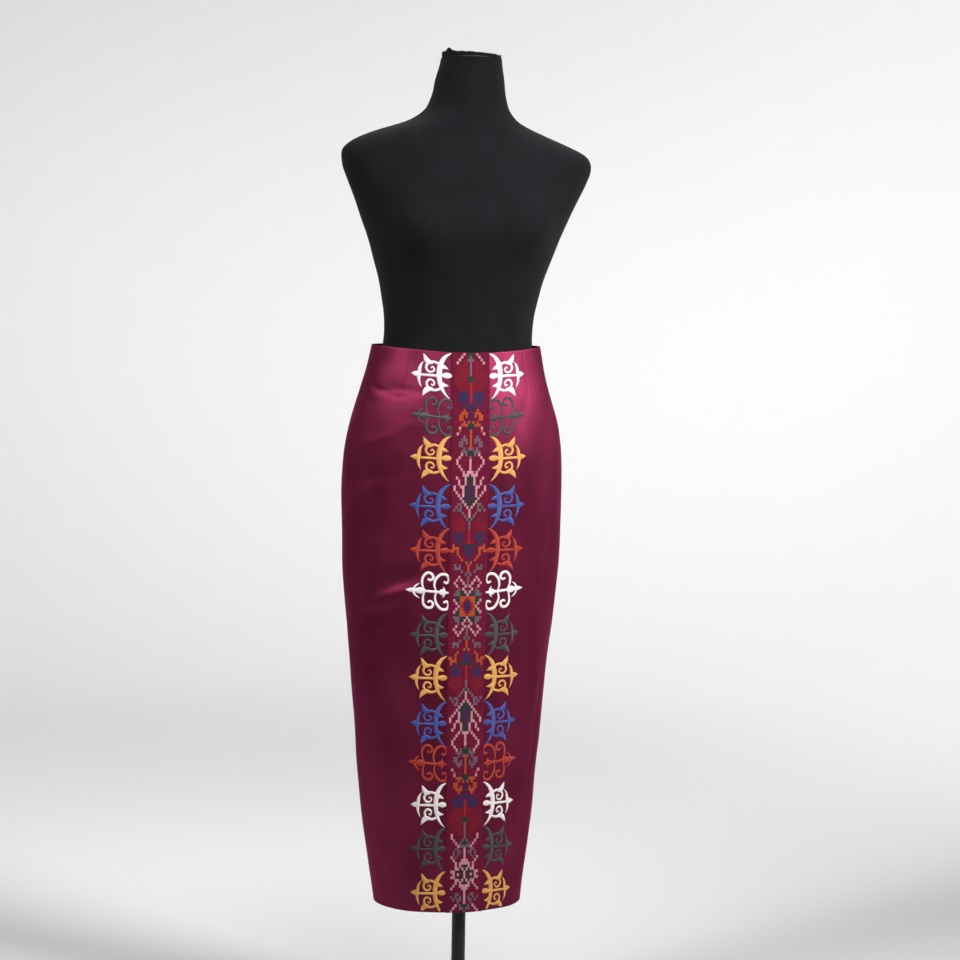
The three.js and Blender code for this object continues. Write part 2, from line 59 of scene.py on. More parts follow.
away = Vector((math.sin(VIEW_TURN), -math.cos(VIEW_TURN), 0))
aside = Vector((math.cos(VIEW_TURN), math.sin(VIEW_TURN), 0))
eye = away * VIEW_DISTANCE + Vector((0, 0, VIEW_HEIGHT))
aim = aside * AIM_ASIDE + Vector((0, 0, AIM_HEIGHT))
camera = bpy.data.objects.new("view", bpy.data.cameras.new("view"))
bpy.context.collection.objects.link(camera)
camera.location = eye
camera.rotation_mode = "QUATERNION"
camera.rotation_quaternion = (aim - eye).to_track_quat("-Z", "Y") @ Quaternion((0, 0, 1), VIEW_ROLL)
camera.data.lens = LENS
camera.data.clip_end = 60
bpy.context.scene.camera = camera


# ---------------------------------------------------------------- the studio
# A pale floor that curves up into a pale wall all round. One soft light stands high at the
# front right, weak ones hang overhead and at the left, and three wash the wall and the floor.

FLOOR_RADIUS = 3.4
WALL_RADIUS = 6.0
WALL_HEIGHT = 7.0
SWEEP_STEPS = 16
SWEEP_SIDES = 96
AXIS_GAP = 0.0005  # a turned profile stops this far from its axis
TURNED_SHARP = 35


def new_piece(name, points, faces, sharp):
    """A mesh object from points in metres and lists of their numbers, one list a face.
    Edges that bend by more than the sharp angle, in degrees, stay sharp."""
    mesh = bpy.data.meshes.new(name)
    mesh.from_pydata(np.asarray(points, float).tolist(), [], faces)
    mesh.polygons.foreach_set("use_smooth", np.ones(len(faces), bool))
    mesh.set_sharp_from_angle(angle=math.radians(sharp))
    piece = bpy.data.objects.new(name, mesh)
    bpy.context.collection.objects.link(piece)
    return piece


def turned(name, profile, sides, middle=0.0):
    """A piece turned about an upright axis: the profile's (radius, height) points, in metres."""
    angle = np.arange(sides) * 2 * math.pi / sides
    radius, height = np.array(profile, float).T
    x = middle + radius[:, None] * np.cos(angle)
    y = radius[:, None] * np.sin(angle)
    z = np.broadcast_to(height[:, None], x.shape)
    points = np.stack([x, y, z], -1).reshape(-1, 3)
    faces = [
        [r * sides + c, r * sides + (c + 1) % sides, (r + 1) * sides + (c + 1) % sides, (r + 1) * sides + c]
        for r in range(len(profile) - 1)
        for c in range(sides)
    ]
    return new_piece(name, points, faces, TURNED_SHARP)


def new_material(name, colour, roughness, **plain):
    """A material, its nodes, and a Principled shader whose plain sockets are set."""
    made = bpy.data.materials.new(name)
    made.use_nodes = True
    shader = made.node_tree.nodes["Principled BSDF"]
    shader.inputs["Base Color"].default_value = (*colour, 1)
    shader.inputs["Roughness"].default_value = roughness
    for socket, value in plain.items():
        shader.inputs[socket.replace("_", " ")].default_value = value
    return made, made.node_tree, shader


sweep = [(2 * AXIS_GAP, 0), (FLOOR_RADIUS, 0)]
for step in range(1, SWEEP_STEPS + 1):
    bend = math.pi / 2 * step / SWEEP_STEPS
    sweep.append((
        FLOOR_RADIUS + (WALL_RADIUS - FLOOR_RADIUS) * math.sin(bend),
        (WALL_RADIUS - FLOOR_RADIUS) * (1 - math.cos(bend)),
    ))
sweep.append((WALL_RADIUS, WALL_HEIGHT))
studio = turned("studio_sweep", sweep, SWEEP_SIDES)
paint, tree, shader = new_material("studio_paint", (0.8, 0.8, 0.79), 0.9)
studio.data.materials.append(paint)


def soft_light(name, place, target, size, spread, power):
    """A rectangular softbox aimed at a target, with a honeycomb that limits its spread."""
    light = bpy.data.lights.new(name, "AREA")
    light.shape = "RECTANGLE"
    light.size, light.size_y = size
    light.spread = math.radians(spread)
    light.energy = power
    lamp = bpy.data.objects.new(name, light)
    lamp.location = place
    lamp.rotation_euler = (Vector(target) - Vector(place)).to_track_quat("-Z", "Y").to_euler()
    bpy.context.collection.objects.link(lamp)


soft_light("key", (2.8, -3.0, 2.9), (0.05, 0, 1.05), (1.5, 1.2), 34, 13)
soft_light("overhead", (0.2, -1.6, 3.9), (0, 0, 1.3), (1.8, 1.2), 30, 2)
soft_light("fill", (-3.4, -1.7, 3.6), (0, 0, 1.5), (2.4, 1.8), 22, 8.6)
soft_light("wall_right", (2.4, 2.0, 4.4), (2.2, 4.6, 1.5), (2.2, 1.0), 120, 74)
soft_light("wall_left", (-0.9, 2.4, 4.4), (-0.5, 5.2, 1.7), (2.2, 1.0), 80, 15)
soft_light("floor", (0.6, 2.1, 5.8), (0.6, 0.9, 0), (4.8, 2.6), 120, 66)

world = bpy.data.worlds.new("studio_air")
world.use_nodes = True
world.node_tree.nodes["Background"].inputs["Color"].default_value = (0.9, 0.93, 1, 1)
world.node_tree.nodes["Background"].inputs["Strength"].default_value = 0.03
bpy.context.scene.world = world
bpy.context.scene.view_settings.view_transform = "Standard"


# ---------------------------------------------------------------- stand
# A round weighted base plate with a boss, and a straight pole, both of steel under a black
# satin powder coat. The pole stands in the boss and goes up into the form.

ROOT = "skirt_and_form"
MM = 0.001
POLE_ASIDE = 5 * MM
POLE_RADIUS = 11 * MM
BASE_RADIUS = 170 * MM
BASE_THICKNESS = 8 * MM
BOSS_RADIUS = 20 * MM
BOSS_HEIGHT = 46 * MM
BOSS_FLOOR = 5 * MM
BORE_CLEARANCE = 0.3 * MM
BORE_CHAMFER = 0.6 * MM
RIM_ROUNDING = 3 * MM
FOOT_CHAMFER = 1 * MM
BOSS_FILLET = 3 * MM
FILLET_BELLY = 0.9 * MM
BOSS_ROUNDING = 1.2 * MM
BASE_SIDES = 144
POLE_SIDES = 64


def quarter(radius, height, rounding, steps):
    """A rounded outer corner, from its side up on to its top."""
    return [
        (
            radius - rounding + rounding * math.cos(math.pi / 2 * i / steps),
            height - rounding + rounding * math.sin(math.pi / 2 * i / steps),
        )
        for i in range(steps + 1)
    ]


def texture_place(tree, scale):
    """The piece's own coordinates in metres, times a scale along each axis."""
    place = tree.nodes.new("ShaderNodeTexCoord")
    sized = tree.nodes.new("ShaderNodeMapping")
    sized.inputs["Scale"].default_value = scale
    tree.links.new(place.outputs["Object"], sized.inputs["Vector"])
    return sized.outputs["Vector"]


def noise_of(tree, scale, detail):
    """Cloudy variation: scale says about how many clouds a metre has along each axis."""
    place = texture_place(tree, scale)
    texture = tree.nodes.new("ShaderNodeTexNoise")
    texture.inputs["Scale"].default_value = 1.0
    texture.inputs["Detail"].default_value = detail
    tree.links.new(place, texture.inputs["Vector"])
    return texture.outputs["Fac"]


def tint(tree, shader, factor, *tones):
    """Colours a shader from one tone to another over a factor: each is (place, colour)."""
    ramp = tree.nodes.new("ShaderNodeValToRGB")
    for stop, (at, tone) in zip(ramp.color_ramp.elements, tones):
        stop.position = at
        stop.color = (*tone, 1)
    tree.links.new(factor, ramp.inputs["Fac"])
    tree.links.new(ramp.outputs["Color"], shader.inputs["Base Color"])


def spread(tree, factor, low, high):
    """A factor from 0 to 1 carried over to a range of its own."""
    ranged = tree.nodes.new("ShaderNodeMapRange")
    ranged.inputs["To Min"].default_value = low
    ranged.inputs["To Max"].default_value = high
    tree.links.new(factor, ranged.inputs["Value"])
    return ranged.outputs["Result"]


def add_bump(tree, shader, height, strength, depth, under=None):
    """Relief from a height, depth metres deep, on top of another bump if one is given."""
    bump = tree.nodes.new("ShaderNodeBump")
    bump.inputs["Strength"].default_value = strength
    bump.inputs["Distance"].default_value = depth
    tree.links.new(height, bump.inputs["Height"])
    if under is not None:
        tree.links.new(under, bump.inputs["Normal"])
    tree.links.new(bump.outputs["Normal"], shader.inputs["Normal"])
    return bump.outputs["Normal"]


powder, tree, shader = new_material(
    "black_powder_coat", (0.014, 0.0135, 0.013), 0.36, Specular_IOR_Level=0.35
)
speckle = noise_of(tree, (1400, 1400, 1400), 2)
wear = noise_of(tree, (18, 18, 9), 6)
tint(tree, shader, wear, (0.3, (0.011, 0.0106, 0.0102)), (0.7, (0.018, 0.0174, 0.0168)))
tree.links.new(spread(tree, wear, 0.28, 0.46), shader.inputs["Roughness"])
add_bump(tree, shader, speckle, 0.35, 0.00008)

bore = POLE_RADIUS + BORE_CLEARANCE
base = turned(
    "base_plate",
    [(AXIS_GAP, 0), (BASE_RADIUS - FOOT_CHAMFER, 0), (BASE_RADIUS, FOOT_CHAMFER)]
    + quarter(BASE_RADIUS, BASE_THICKNESS, RIM_ROUNDING, 8)
    + [(BOSS_RADIUS + BOSS_FILLET, BASE_THICKNESS)]
    + [(BOSS_RADIUS + FILLET_BELLY, BASE_THICKNESS + FILLET_BELLY)]
    + [(BOSS_RADIUS, BASE_THICKNESS + BOSS_FILLET)]
    + quarter(BOSS_RADIUS, BOSS_HEIGHT, BOSS_ROUNDING, 5)
    + [(bore + BORE_CHAMFER, BOSS_HEIGHT), (bore, BOSS_HEIGHT - BORE_CHAMFER)]
    + [(bore, BOSS_FLOOR), (AXIS_GAP, BOSS_FLOOR)],
    BASE_SIDES,
    POLE_ASIDE,
)
pole_low, pole_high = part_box("stand_pole")
pole = turned(
    "pole",
    [(AXIS_GAP, pole_low.z), (POLE_RADIUS, pole_low.z), (POLE_RADIUS, pole_high.z), (AXIS_GAP, pole_high.z)],
    POLE_SIDES,
    POLE_ASIDE,
)
for piece, node in ((base, "stand_base"), (pole, "stand_pole")):
    piece.data.materials.append(powder)
    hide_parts(node)
    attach(piece, ROOT)


# ---------------------------------------------------------------- skirt's cut
# The skirt's surface, which all its pieces are laid on. Rings round the body give its
# girth, and small folds stand out of them, as heavy satin has where it hangs and turns.

HEM_HEIGHT = 210
SKIRT_LENGTH = 885
WAIST_DIP = 9
SATIN_WALL = 1.5
PIECE_GAP = 0.3
RING_SQUARENESS = 2.15
NORMAL_TURN = 0.3  # degrees and millimetres over which the cloth's direction is measured
NORMAL_RISE = 0.8
SHEET_SHARP = 50


def table(columns, rows):
    """Rows of values, each a dictionary by the names of the columns."""
    return [dict(zip(columns.split(), row)) for row in rows]


SKIRT_RINGS = table("up half front back aside", [
    (0, 118, 97, 92, -15.5),
    (111, 133, 101, 96, -17.5),
    (200, 142, 104.5, 100, -18.5),
    (290, 150, 107.5, 104, -18.5),
    (380, 157.5, 110.5, 110, -18),
    (467, 166, 113.5, 119, -17),
    (555, 173, 116, 129, -16.5),
    (644, 176, 118, 134, -16.5),
    (711, 173, 118, 130, -16),
    (755, 166, 116, 123, -15.5),
    (800, 155, 112, 114, -15),
    (844, 142.5, 106, 105, -14.5),
    (885, 134, 100, 98, -14),
])

# Soft folds and creases: turn round the body and height of the middle, half length, half
# width, how far out (or in), slope from level, and how far the ends bend up.
FOLDS = table("turn up run wide lift lean bend", [
    (-66, 842, 44, 18, 0.9, 3, 0),
    (-72, 822, 24, 4, -0.8, -18, 3),
    (-51, 811, 26, 3.4, -0.4, 6, 2),
    (-64, 786, 46, 17, 0.3, 12, 0),
    (-47, 504, 48, 15, 7.4, 22, 4),
    (-62, 484, 26, 9, 2.4, 14, 2),
    (-52, 482, 40, 11, -2.6, 22, 4),
    (-50, 552, 44, 17, 2.4, 10, 0),
    (-72, 428, 46, 18, 2.2, -6, 0),
    (-40, 250, 70, 20, 2, 74, 0),
    (57, 330, 110, 17, 3.2, 86, 0),
    (70, 470, 90, 18, 2.2, 80, 0),
    (74, 752, 40, 17, 1.8, 60, 0),
    (142, 530, 62, 20, 3, -18, 0),
    (-146, 520, 62, 20, 2.8, 20, 0),
    (160, 330, 80, 20, 2.4, 68, 0),
    (-158, 370, 86, 20, 2.4, -72, 0),
    # small creases of the front
    (-70, 820, 26, 3.4, -1.1, -14, 3),
    (-48, 822, 34, 4, -0.6, -4, 0),
    (-78, 803, 20, 4, -0.8, -20, 2),
    (-36, 770, 30, 7, 0.5, 8, 2),
    (-66, 738, 44, 8, 0.6, 18, 4),
    (-50, 690, 60, 12, -0.7, 24, 5),
    (-77, 628, 24, 10, 2.4, 34, 0),
    (-66, 664, 26, 9, 1.5, 26, 0),
    (-60, 437, 24, 8, 1.6, 4, 0),
    (-58, 596, 40, 9, -0.7, 16, 4),
    (-38, 466, 28, 6, 0.8, 20, 2),
    (-60, 452, 50, 8, -0.8, 12, 6),
    (-56, 396, 34, 6, 0.6, -10, 2),
    (-66, 330, 60, 10, 0.6, 60, 0),
    (-52, 180, 74, 9, 0.8, 84, 0),
    (-66, 88, 22, 7, 1.6, 6, 3),
    (-74, 140, 50, 8, -0.6, 78, 0),
    (43, 792, 26, 6, -0.4, 70, 0),
    (66, 700, 34, 9, -0.6, 52, 3),
    (52, 640, 60, 9, 0.6, 78, 0),
    (62, 560, 90, 8, -1.6, 86, 0),
    (50, 440, 70, 7, -0.7, 88, 0),
    (66, 300, 90, 7, -1.6, 86, 0),
    (49, 300, 26, 5, 0.7, -14, 2),
    (54, 268, 22, 4.5, 0.5, -22, 0),
    (52, 150, 80, 8, 1.5, 88, 0),
    (70, 110, 60, 9, 0.8, 84, 0),
    # small creases of the sides and back
    (98, 560, 70, 10, 0.8, 76, 0),
    (-100, 470, 80, 10, 0.8, 80, 0),
    (112, 800, 34, 6, -0.7, 12, 3),
    (-108, 812, 30, 6, -0.8, -10, 3),
    (150, 806, 36, 8, 0.7, 8, 4),
    (-154, 800, 40, 7, 0.6, -6, 4),
    (136, 488, 50, 9, -1.0, -24, 6),
    (-140, 476, 46, 9, -0.9, 26, 6),
    (164, 512, 34, 8, 1.0, -8, 4),
    (-166, 500, 34, 8, 0.9, 10, 4),
    (126, 380, 90, 11, 0.9, 74, 0),
    (-130, 300, 90, 10, 0.9, -78, 0),
    (108, 240, 70, 9, -0.7, 82, 0),
    (-112, 190, 70, 9, 0.7, 84, 0),
    (150, 130, 60, 9, 0.8, 80, 0),
    (-146, 110, 56, 9, -0.7, 82, 0),
])

# Slack in the cloth: long shallow waves, each with how many go round the body and its length
# up the body.
SLACK = table("round up height start", [
    (6, 263, 0.45, 0.7),
    (-8, 197, 0.4, 2.1),
    (11, -149, 0.3, 4.4),
    (16, 101, 0.17, 1.2),
])


def curve_through(at, value, slope, place):
    """A smooth curve, read at some places: at lists where its values and slopes are given."""
    i = np.clip(np.searchsorted(at, place, side="right") - 1, 0, len(at) - 2)
    span = at[i + 1] - at[i]
    t = np.clip((place - at[i]) / span, 0, 1)
    return (
        (2 * t**3 - 3 * t**2 + 1) * value[i]
        + (t**3 - 2 * t**2 + t) * span * slope[i]
        + (3 * t**2 - 2 * t**3) * value[i + 1]
        + (t**3 - t**2) * span * slope[i + 1]
    )


def ring_value(name, up):
    """One column of SKIRT_RINGS at any height."""
    at = np.array([row["up"] for row in SKIRT_RINGS], float)
    value = np.array([row[name] for row in SKIRT_RINGS], float)
    before = np.maximum(np.arange(len(at)) - 1, 0)
    after = np.minimum(np.arange(len(at)) + 1, len(at) - 1)
    return curve_through(at, value, (value[after] - value[before]) / (at[after] - at[before]), up)


def ring_reach(turn, half, depth, square):
    """Distance from a ring's middle to its edge, at a turn in degrees from the front."""
    across = np.abs(np.sin(np.radians(turn))) / half
    deep = np.abs(np.cos(np.radians(turn))) / depth
    return (across**square + deep**square) ** (-1 / square)


def skirt_reach(turn, up):
    """Distance from the body's middle to the plain skirt, before its folds."""
    facing = np.cos(np.radians(turn)) > 0
    depth = np.where(facing, ring_value("front", up), ring_value("back", up))
    return ring_reach(turn, ring_value("half", up), depth, RING_SQUARENESS)


def fold_lift(turn, up, reach):
    """How far the cloth stands out of its plain ring, from every fold near the point."""
    total = np.zeros(np.shape(turn))
    for fold in FOLDS:
        round_it = np.radians((turn - fold["turn"] + 180) % 360 - 180) * reach
        above = up - fold["up"]
        cos, sin = math.cos(math.radians(fold["lean"])), math.sin(math.radians(fold["lean"]))
        along = (round_it * cos + above * sin) / fold["run"]
        across = (above * cos - round_it * sin - fold["bend"] * along**2) / fold["wide"]
        total += fold["lift"] * np.exp(-(along**2) - across**2)
    for wave in SLACK:
        phase = wave["round"] * turn / 360 + up / wave["up"]
        total += wave["height"] * np.sin(2 * math.pi * phase + wave["start"])
    return total


def skirt_point(turn, up):
    """A point of the skirt's outer face, folds and all, in millimetres."""
    reach = skirt_reach(turn, up)
    reach = reach + fold_lift(turn, up, reach)
    facing = np.maximum(np.cos(np.radians(turn)), 0)
    height = HEM_HEIGHT + up - WAIST_DIP * up / SKIRT_LENGTH * facing**2
    x = ring_value("aside", up) + reach * np.sin(np.radians(turn))
    y = -reach * np.cos(np.radians(turn))
    return np.stack([x, y, height], -1)


def cloth(turn, up, out=0.0):
    """Points of the skirt in metres: turn in degrees, height above the hem and distance
    straight out of the cloth in millimetres."""
    turn, up, out = np.broadcast_arrays(*(np.asarray(v, float) for v in (turn, up, out)))
    round_it = skirt_point(turn + NORMAL_TURN, up) - skirt_point(turn - NORMAL_TURN, up)
    above, below = np.minimum(up + NORMAL_RISE, SKIRT_LENGTH), np.maximum(up - NORMAL_RISE, 0)
    rise = skirt_point(turn, above) - skirt_point(turn, below)
    normal = np.cross(round_it, rise)
    normal /= np.linalg.norm(normal, axis=-1, keepdims=True)
    return (skirt_point(turn, up) + normal * out[..., None]) * MM


def turn_at(distance, up, behind=False):
    """The turn of a line that runs at a fixed distance from the body's middle plane."""
    half = ring_value("half", up)
    depth = ring_value("back" if behind else "front", up)
    deep = depth * (1 - (np.abs(distance) / half) ** RING_SQUARENESS) ** (1 / RING_SQUARENESS)
    turn = np.degrees(np.arctan2(distance, deep))
    return 180 - turn if behind else turn


def wall(name, outer, inner):
    """A closed sheet from its outer and inner faces, two grids of points of the same size."""
    rows, columns = outer.shape[:2]
    number = np.arange(rows * columns).reshape(rows, columns)
    back = number + rows * columns
    a, b, c, d = number[:-1, :-1], number[:-1, 1:], number[1:, 1:], number[1:, :-1]
    e, f, g, h = back[:-1, :-1], back[:-1, 1:], back[1:, 1:], back[1:, :-1]
    quads = [np.stack([a, b, c, d], -1), np.stack([e, h, g, f], -1)]
    quads.append(np.stack([number[0, :-1], back[0, :-1], back[0, 1:], number[0, 1:]], -1))
    quads.append(np.stack([number[-1, :-1], number[-1, 1:], back[-1, 1:], back[-1, :-1]], -1))
    quads.append(np.stack([number[:-1, 0], number[1:, 0], back[1:, 0], back[:-1, 0]], -1))
    quads.append(np.stack([number[:-1, -1], back[:-1, -1], back[1:, -1], number[1:, -1]], -1))
    faces = np.concatenate([q.reshape(-1, 4) for q in quads]).tolist()
    points = np.concatenate([outer.reshape(-1, 3), inner.reshape(-1, 3)])
    return new_piece(name, points, faces, SHEET_SHARP)


# ---------------------------------------------------------------- satin panels
# Front and two backs of heavy maroon duchess satin, joined at the side seams and at centre
# back. Each has stitched waist darts, a faced waist edge and a folded hem.

DART_TURN = 48.5
DART_LENGTH = 78
BACK_DART_TURN = 138
BACK_DART_LENGTH = 115
DART_DEPTH = 0.7
DART_HALF_TURN = 1.1
VENT_HEIGHT = 235
VENT_GAP = 9
DART_COLUMNS = 9
EDGE_ROUNDING = 0.5
EDGE_BAND = 2
PANEL_ROWS = 232
FRONT_COLUMNS = 148
BACK_COLUMNS = 76
SEAM_REACH = 150
SEAM_TURN = math.degrees(PIECE_GAP / 2 / SEAM_REACH)
OPENING_PULL = 6  # the higher, the fewer columns follow the edge of the back's opening
GIRTH_STEP = 15


def dart_sink(turn, up, darts, length):
    """How deep the cloth is drawn in along the darts, which run out below the waist."""
    share = np.clip((up - (SKIRT_LENGTH - length)) / length, 0, 1)
    near = sum(np.exp(-(((turn - dart) / (DART_HALF_TURN / 2)) ** 2)) for dart in darts)
    return DART_DEPTH * np.sqrt(share) * near


def panel_columns(start, end, count, darts):
    """Turns of a panel's columns, with close ones at each dart."""
    plain = np.linspace(start, end, count)
    close = [dart + DART_HALF_TURN * share for dart in darts for share in np.linspace(-1, 1, DART_COLUMNS)]
    far = [t for t in plain if all(abs(t - dart) > DART_HALF_TURN for dart in darts)]
    return np.array(sorted(far + close))


def panel(name, columns, place, darts, dart_length):
    """A panel of satin. place gives the turn round the body of a column at a height."""
    rows = np.linspace(EDGE_BAND, SKIRT_LENGTH - EDGE_BAND, PANEL_ROWS)
    rows = np.concatenate([[0, EDGE_ROUNDING], rows])
    rows = np.concatenate([rows, [SKIRT_LENGTH - EDGE_ROUNDING, SKIRT_LENGTH]])
    up, column = np.meshgrid(rows, columns, indexing="ij")
    turn = place(column, up)
    sink = dart_sink(np.abs(column), up, darts, dart_length)
    edge = np.minimum(up, SKIRT_LENGTH - up)
    tuck = EDGE_ROUNDING * np.clip(1 - edge / EDGE_ROUNDING, 0, 1) ** 2
    return wall(name, cloth(turn, up, -sink - tuck), cloth(turn, up, tuck - sink - SATIN_WALL))


def half_girth(up):
    """Length round half the skirt, from side seam to side seam in front, in metres."""
    turn = np.linspace(-90, 90, 91)
    points = skirt_point(turn, np.full(turn.shape, float(up)))
    return np.linalg.norm(np.diff(points, axis=0), axis=1).sum() * MM


satin, tree, shader = new_material(
    "maroon_satin", (0.2, 0.02, 0.06), 0.4, Metallic=0.8, Anisotropic=0.7, Specular_IOR_Level=0.25
)
shader.inputs["Specular Tint"].default_value = (0.75, 0.35, 0.6, 1)
floats = tree.nodes.new("ShaderNodeTangent")
floats.direction_type = "RADIAL"
floats.axis = "Z"
tree.links.new(floats.outputs["Tangent"], shader.inputs["Tangent"])
warp = noise_of(tree, (2600, 2600, 240), 2)
slub = noise_of(tree, (160, 160, 900), 3)
# The large clouds are partly painted sheen: their lighter and darker patches in the base colour stand in for
# the glints of crumpled satin. The same clouds also vary the roughness.
mottle_and_painted_sheen = noise_of(tree, (14, 14, 7), 4)
tint(tree, shader, mottle_and_painted_sheen, (0.3, (0.16, 0.016, 0.046)), (0.7, (0.235, 0.025, 0.07)))
tree.links.new(spread(tree, mottle_and_painted_sheen, 0.42, 0.54), shader.inputs["Roughness"])
weave_bump = add_bump(tree, shader, warp, 0.25, 0.00006)
add_bump(tree, shader, slub, 0.18, 0.00008, weave_bump)

front = panel(
    "front_panel",
    panel_columns(SEAM_TURN - 90, 90 - SEAM_TURN, FRONT_COLUMNS, [-DART_TURN, DART_TURN]),
    lambda column, up: column,
    [DART_TURN],
    DART_LENGTH,
)
girths = [half_girth(up) for up in range(0, SKIRT_LENGTH, GIRTH_STEP)]


def back_place(side):
    """Columns of a back panel, from its side seam to the opening at centre back."""
    start = 90 + SEAM_TURN

    def place(column, up):
        gap = PIECE_GAP / 2 + (VENT_GAP - PIECE_GAP) / 2 * np.maximum(1 - up / VENT_HEIGHT, 0)
        share = np.clip((column - start) / (180 - start), 0, 1)
        return side * (column + (turn_at(gap, up, True) - 180) * share**OPENING_PULL)

    return place


backs = {}
for side, hand in ((1, "left"), (-1, "right")):
    columns = panel_columns(90 + SEAM_TURN, 180, BACK_COLUMNS, [BACK_DART_TURN])[::side]
    name = f"back_panel_{hand}"
    backs[hand] = panel(name, columns, back_place(side), [BACK_DART_TURN], BACK_DART_LENGTH)

panels = {"skirt_front": front, "skirt_back_left": backs["left"], "skirt_back_right": backs["right"]}
for node, piece in panels.items():
    piece.data.materials.append(satin)
    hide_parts(node)
    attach(piece, ROOT)


# ---------------------------------------------------------------- vent underlap
# The flap of the same satin behind the vent at centre back, sewn to the right back panel
# and lying loose behind the left one.

UNDERLAP_WIDTH = 62
UNDERLAP_RISE = 20
UNDERLAP_ASIDE = 12
UNDERLAP_ROWS = 66
UNDERLAP_COLUMNS = 22

rows = np.linspace(0, VENT_HEIGHT + UNDERLAP_RISE, UNDERLAP_ROWS)
edges = np.array([1, -1]) * UNDERLAP_WIDTH / 2 + UNDERLAP_ASIDE
up, distance = np.meshgrid(rows, np.linspace(*edges, UNDERLAP_COLUMNS), indexing="ij")
behind = turn_at(distance, up, True)
inside = -SATIN_WALL - PIECE_GAP
underlap = wall("vent_flap", cloth(behind, up, inside), cloth(behind, up, inside - SATIN_WALL))
underlap.data.materials.append(satin)
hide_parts("vent_underlap")
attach(underlap, ROOT)


# ---------------------------------------------------------------- langkit strip
# A narrow tapestry band in cotton and silk, woven in stepped blocks on a burgundy ground,
# laid down the centre front and stitched along both edges.

STRIP_WIDTH = 60
STRIP_WALL = 1.0
STRIP_ROWS = 260
STRIP_COLUMNS = 25
SELVEDGE = 2.5
SELVEDGE_SINK = 0.45
RIB_PITCH = 0.62
RIB_DEPTH = 0.00022
WAVE_LENGTH = 0.314  # a wave texture of scale 1 repeats at this distance

# How far the strip wanders to the wearer's left on its way down, by the height.
STRIP_DRIFT = [
    (0, 6), (103, 6.5), (174, 6.5), (241, 5.5), (304, 3.8), (376, 2.9), (444, 1.6), (513, 0.8), (885, 0.8)
]


def strip_turn(distance, up):
    """The turn of a line on the band, from its distance to the band's own middle."""
    return turn_at(distance + np.interp(up, *np.array(STRIP_DRIFT).T), up)


rows = np.linspace(0, SKIRT_LENGTH, STRIP_ROWS)
across = np.linspace(-STRIP_WIDTH / 2, STRIP_WIDTH / 2, STRIP_COLUMNS)
up, distance = np.meshgrid(rows, across, indexing="ij")
thinner = np.clip((np.abs(distance) - (STRIP_WIDTH / 2 - SELVEDGE)) / SELVEDGE, 0, 1) ** 2 * SELVEDGE_SINK
turn = strip_turn(distance, up)
strip = wall(
    "langkit_band",
    cloth(turn, up, PIECE_GAP + STRIP_WALL - thinner),
    cloth(turn, up, PIECE_GAP),
)


def woven(name, tone, other):
    """A tapestry weave: ribs of weft across the band, broken by the warp, in two near tones."""
    made, tree, shader = new_material(name, tone, 0.78, Specular_IOR_Level=0.1)
    picks = tree.nodes.new("ShaderNodeTexWave")
    picks.bands_direction = "Z"
    picks.inputs["Scale"].default_value = WAVE_LENGTH / RIB_PITCH
    picks.inputs["Distortion"].default_value = 1.6
    picks.inputs["Detail"].default_value = 1.0
    picks.inputs["Detail Scale"].default_value = 0.35
    tree.links.new(texture_place(tree, (1000, 1000, 1000)), picks.inputs["Vector"])
    grain = noise_of(tree, (900, 900, 500), 2)
    uneven = noise_of(tree, (70, 70, 140), 4)
    tint(tree, shader, uneven, (0.32, other), (0.68, tone))
    first = add_bump(tree, shader, picks.outputs["Fac"], 0.6, RIB_DEPTH)
    add_bump(tree, shader, grain, 0.4, 0.0001, first)
    return made


GROUND_TONES = ((0.145, 0.006, 0.029), (0.115, 0.005, 0.024))
strip.data.materials.append(woven("langkit_ground", *GROUND_TONES))
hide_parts("langkit_strip")
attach(strip, ROOT)


# ---------------------------------------------------------------- figures of the langkit
# Figures woven into the band in discontinuous weft: each block of a figure stands a thread
# proud of the ground. Charts give half a row, from the middle column outwards.

CELL = 3.42
CELL_HEIGHT = 0.42
CELL_LAYERS = [(1.0, -0.1), (1.0, 0.6), (0.82, 1.0)]  # shares of width and height, foot first
CELL_CORNERS = [(-1, -1), (1, -1), (1, 1), (-1, 1)]
CELL_SHARP = 20
HEM_MARGIN = 0.6

YARNS = {
    "P": ("pink", (0.58, 0.27, 0.32), (0.47, 0.2, 0.25)),
    "G": ("grey", (0.16, 0.1, 0.13), (0.12, 0.075, 0.1)),
    "O": ("orange", (0.44, 0.075, 0.026), (0.34, 0.052, 0.022)),
    "K": ("black_green", (0.022, 0.028, 0.026), (0.03, 0.034, 0.03)),
    "V": ("violet", (0.058, 0.018, 0.058), (0.07, 0.02, 0.055)),
    "I": ("indigo", (0.034, 0.02, 0.08), (0.045, 0.02, 0.065)),
    "R": ("red", (0.32, 0.018, 0.022), (0.26, 0.015, 0.022)),
    "i": ("indigo_haze", (0.068, 0.015, 0.055), (0.085, 0.014, 0.045)),
    "r": ("red_haze", (0.185, 0.0095, 0.022), (0.15, 0.008, 0.024)),
}

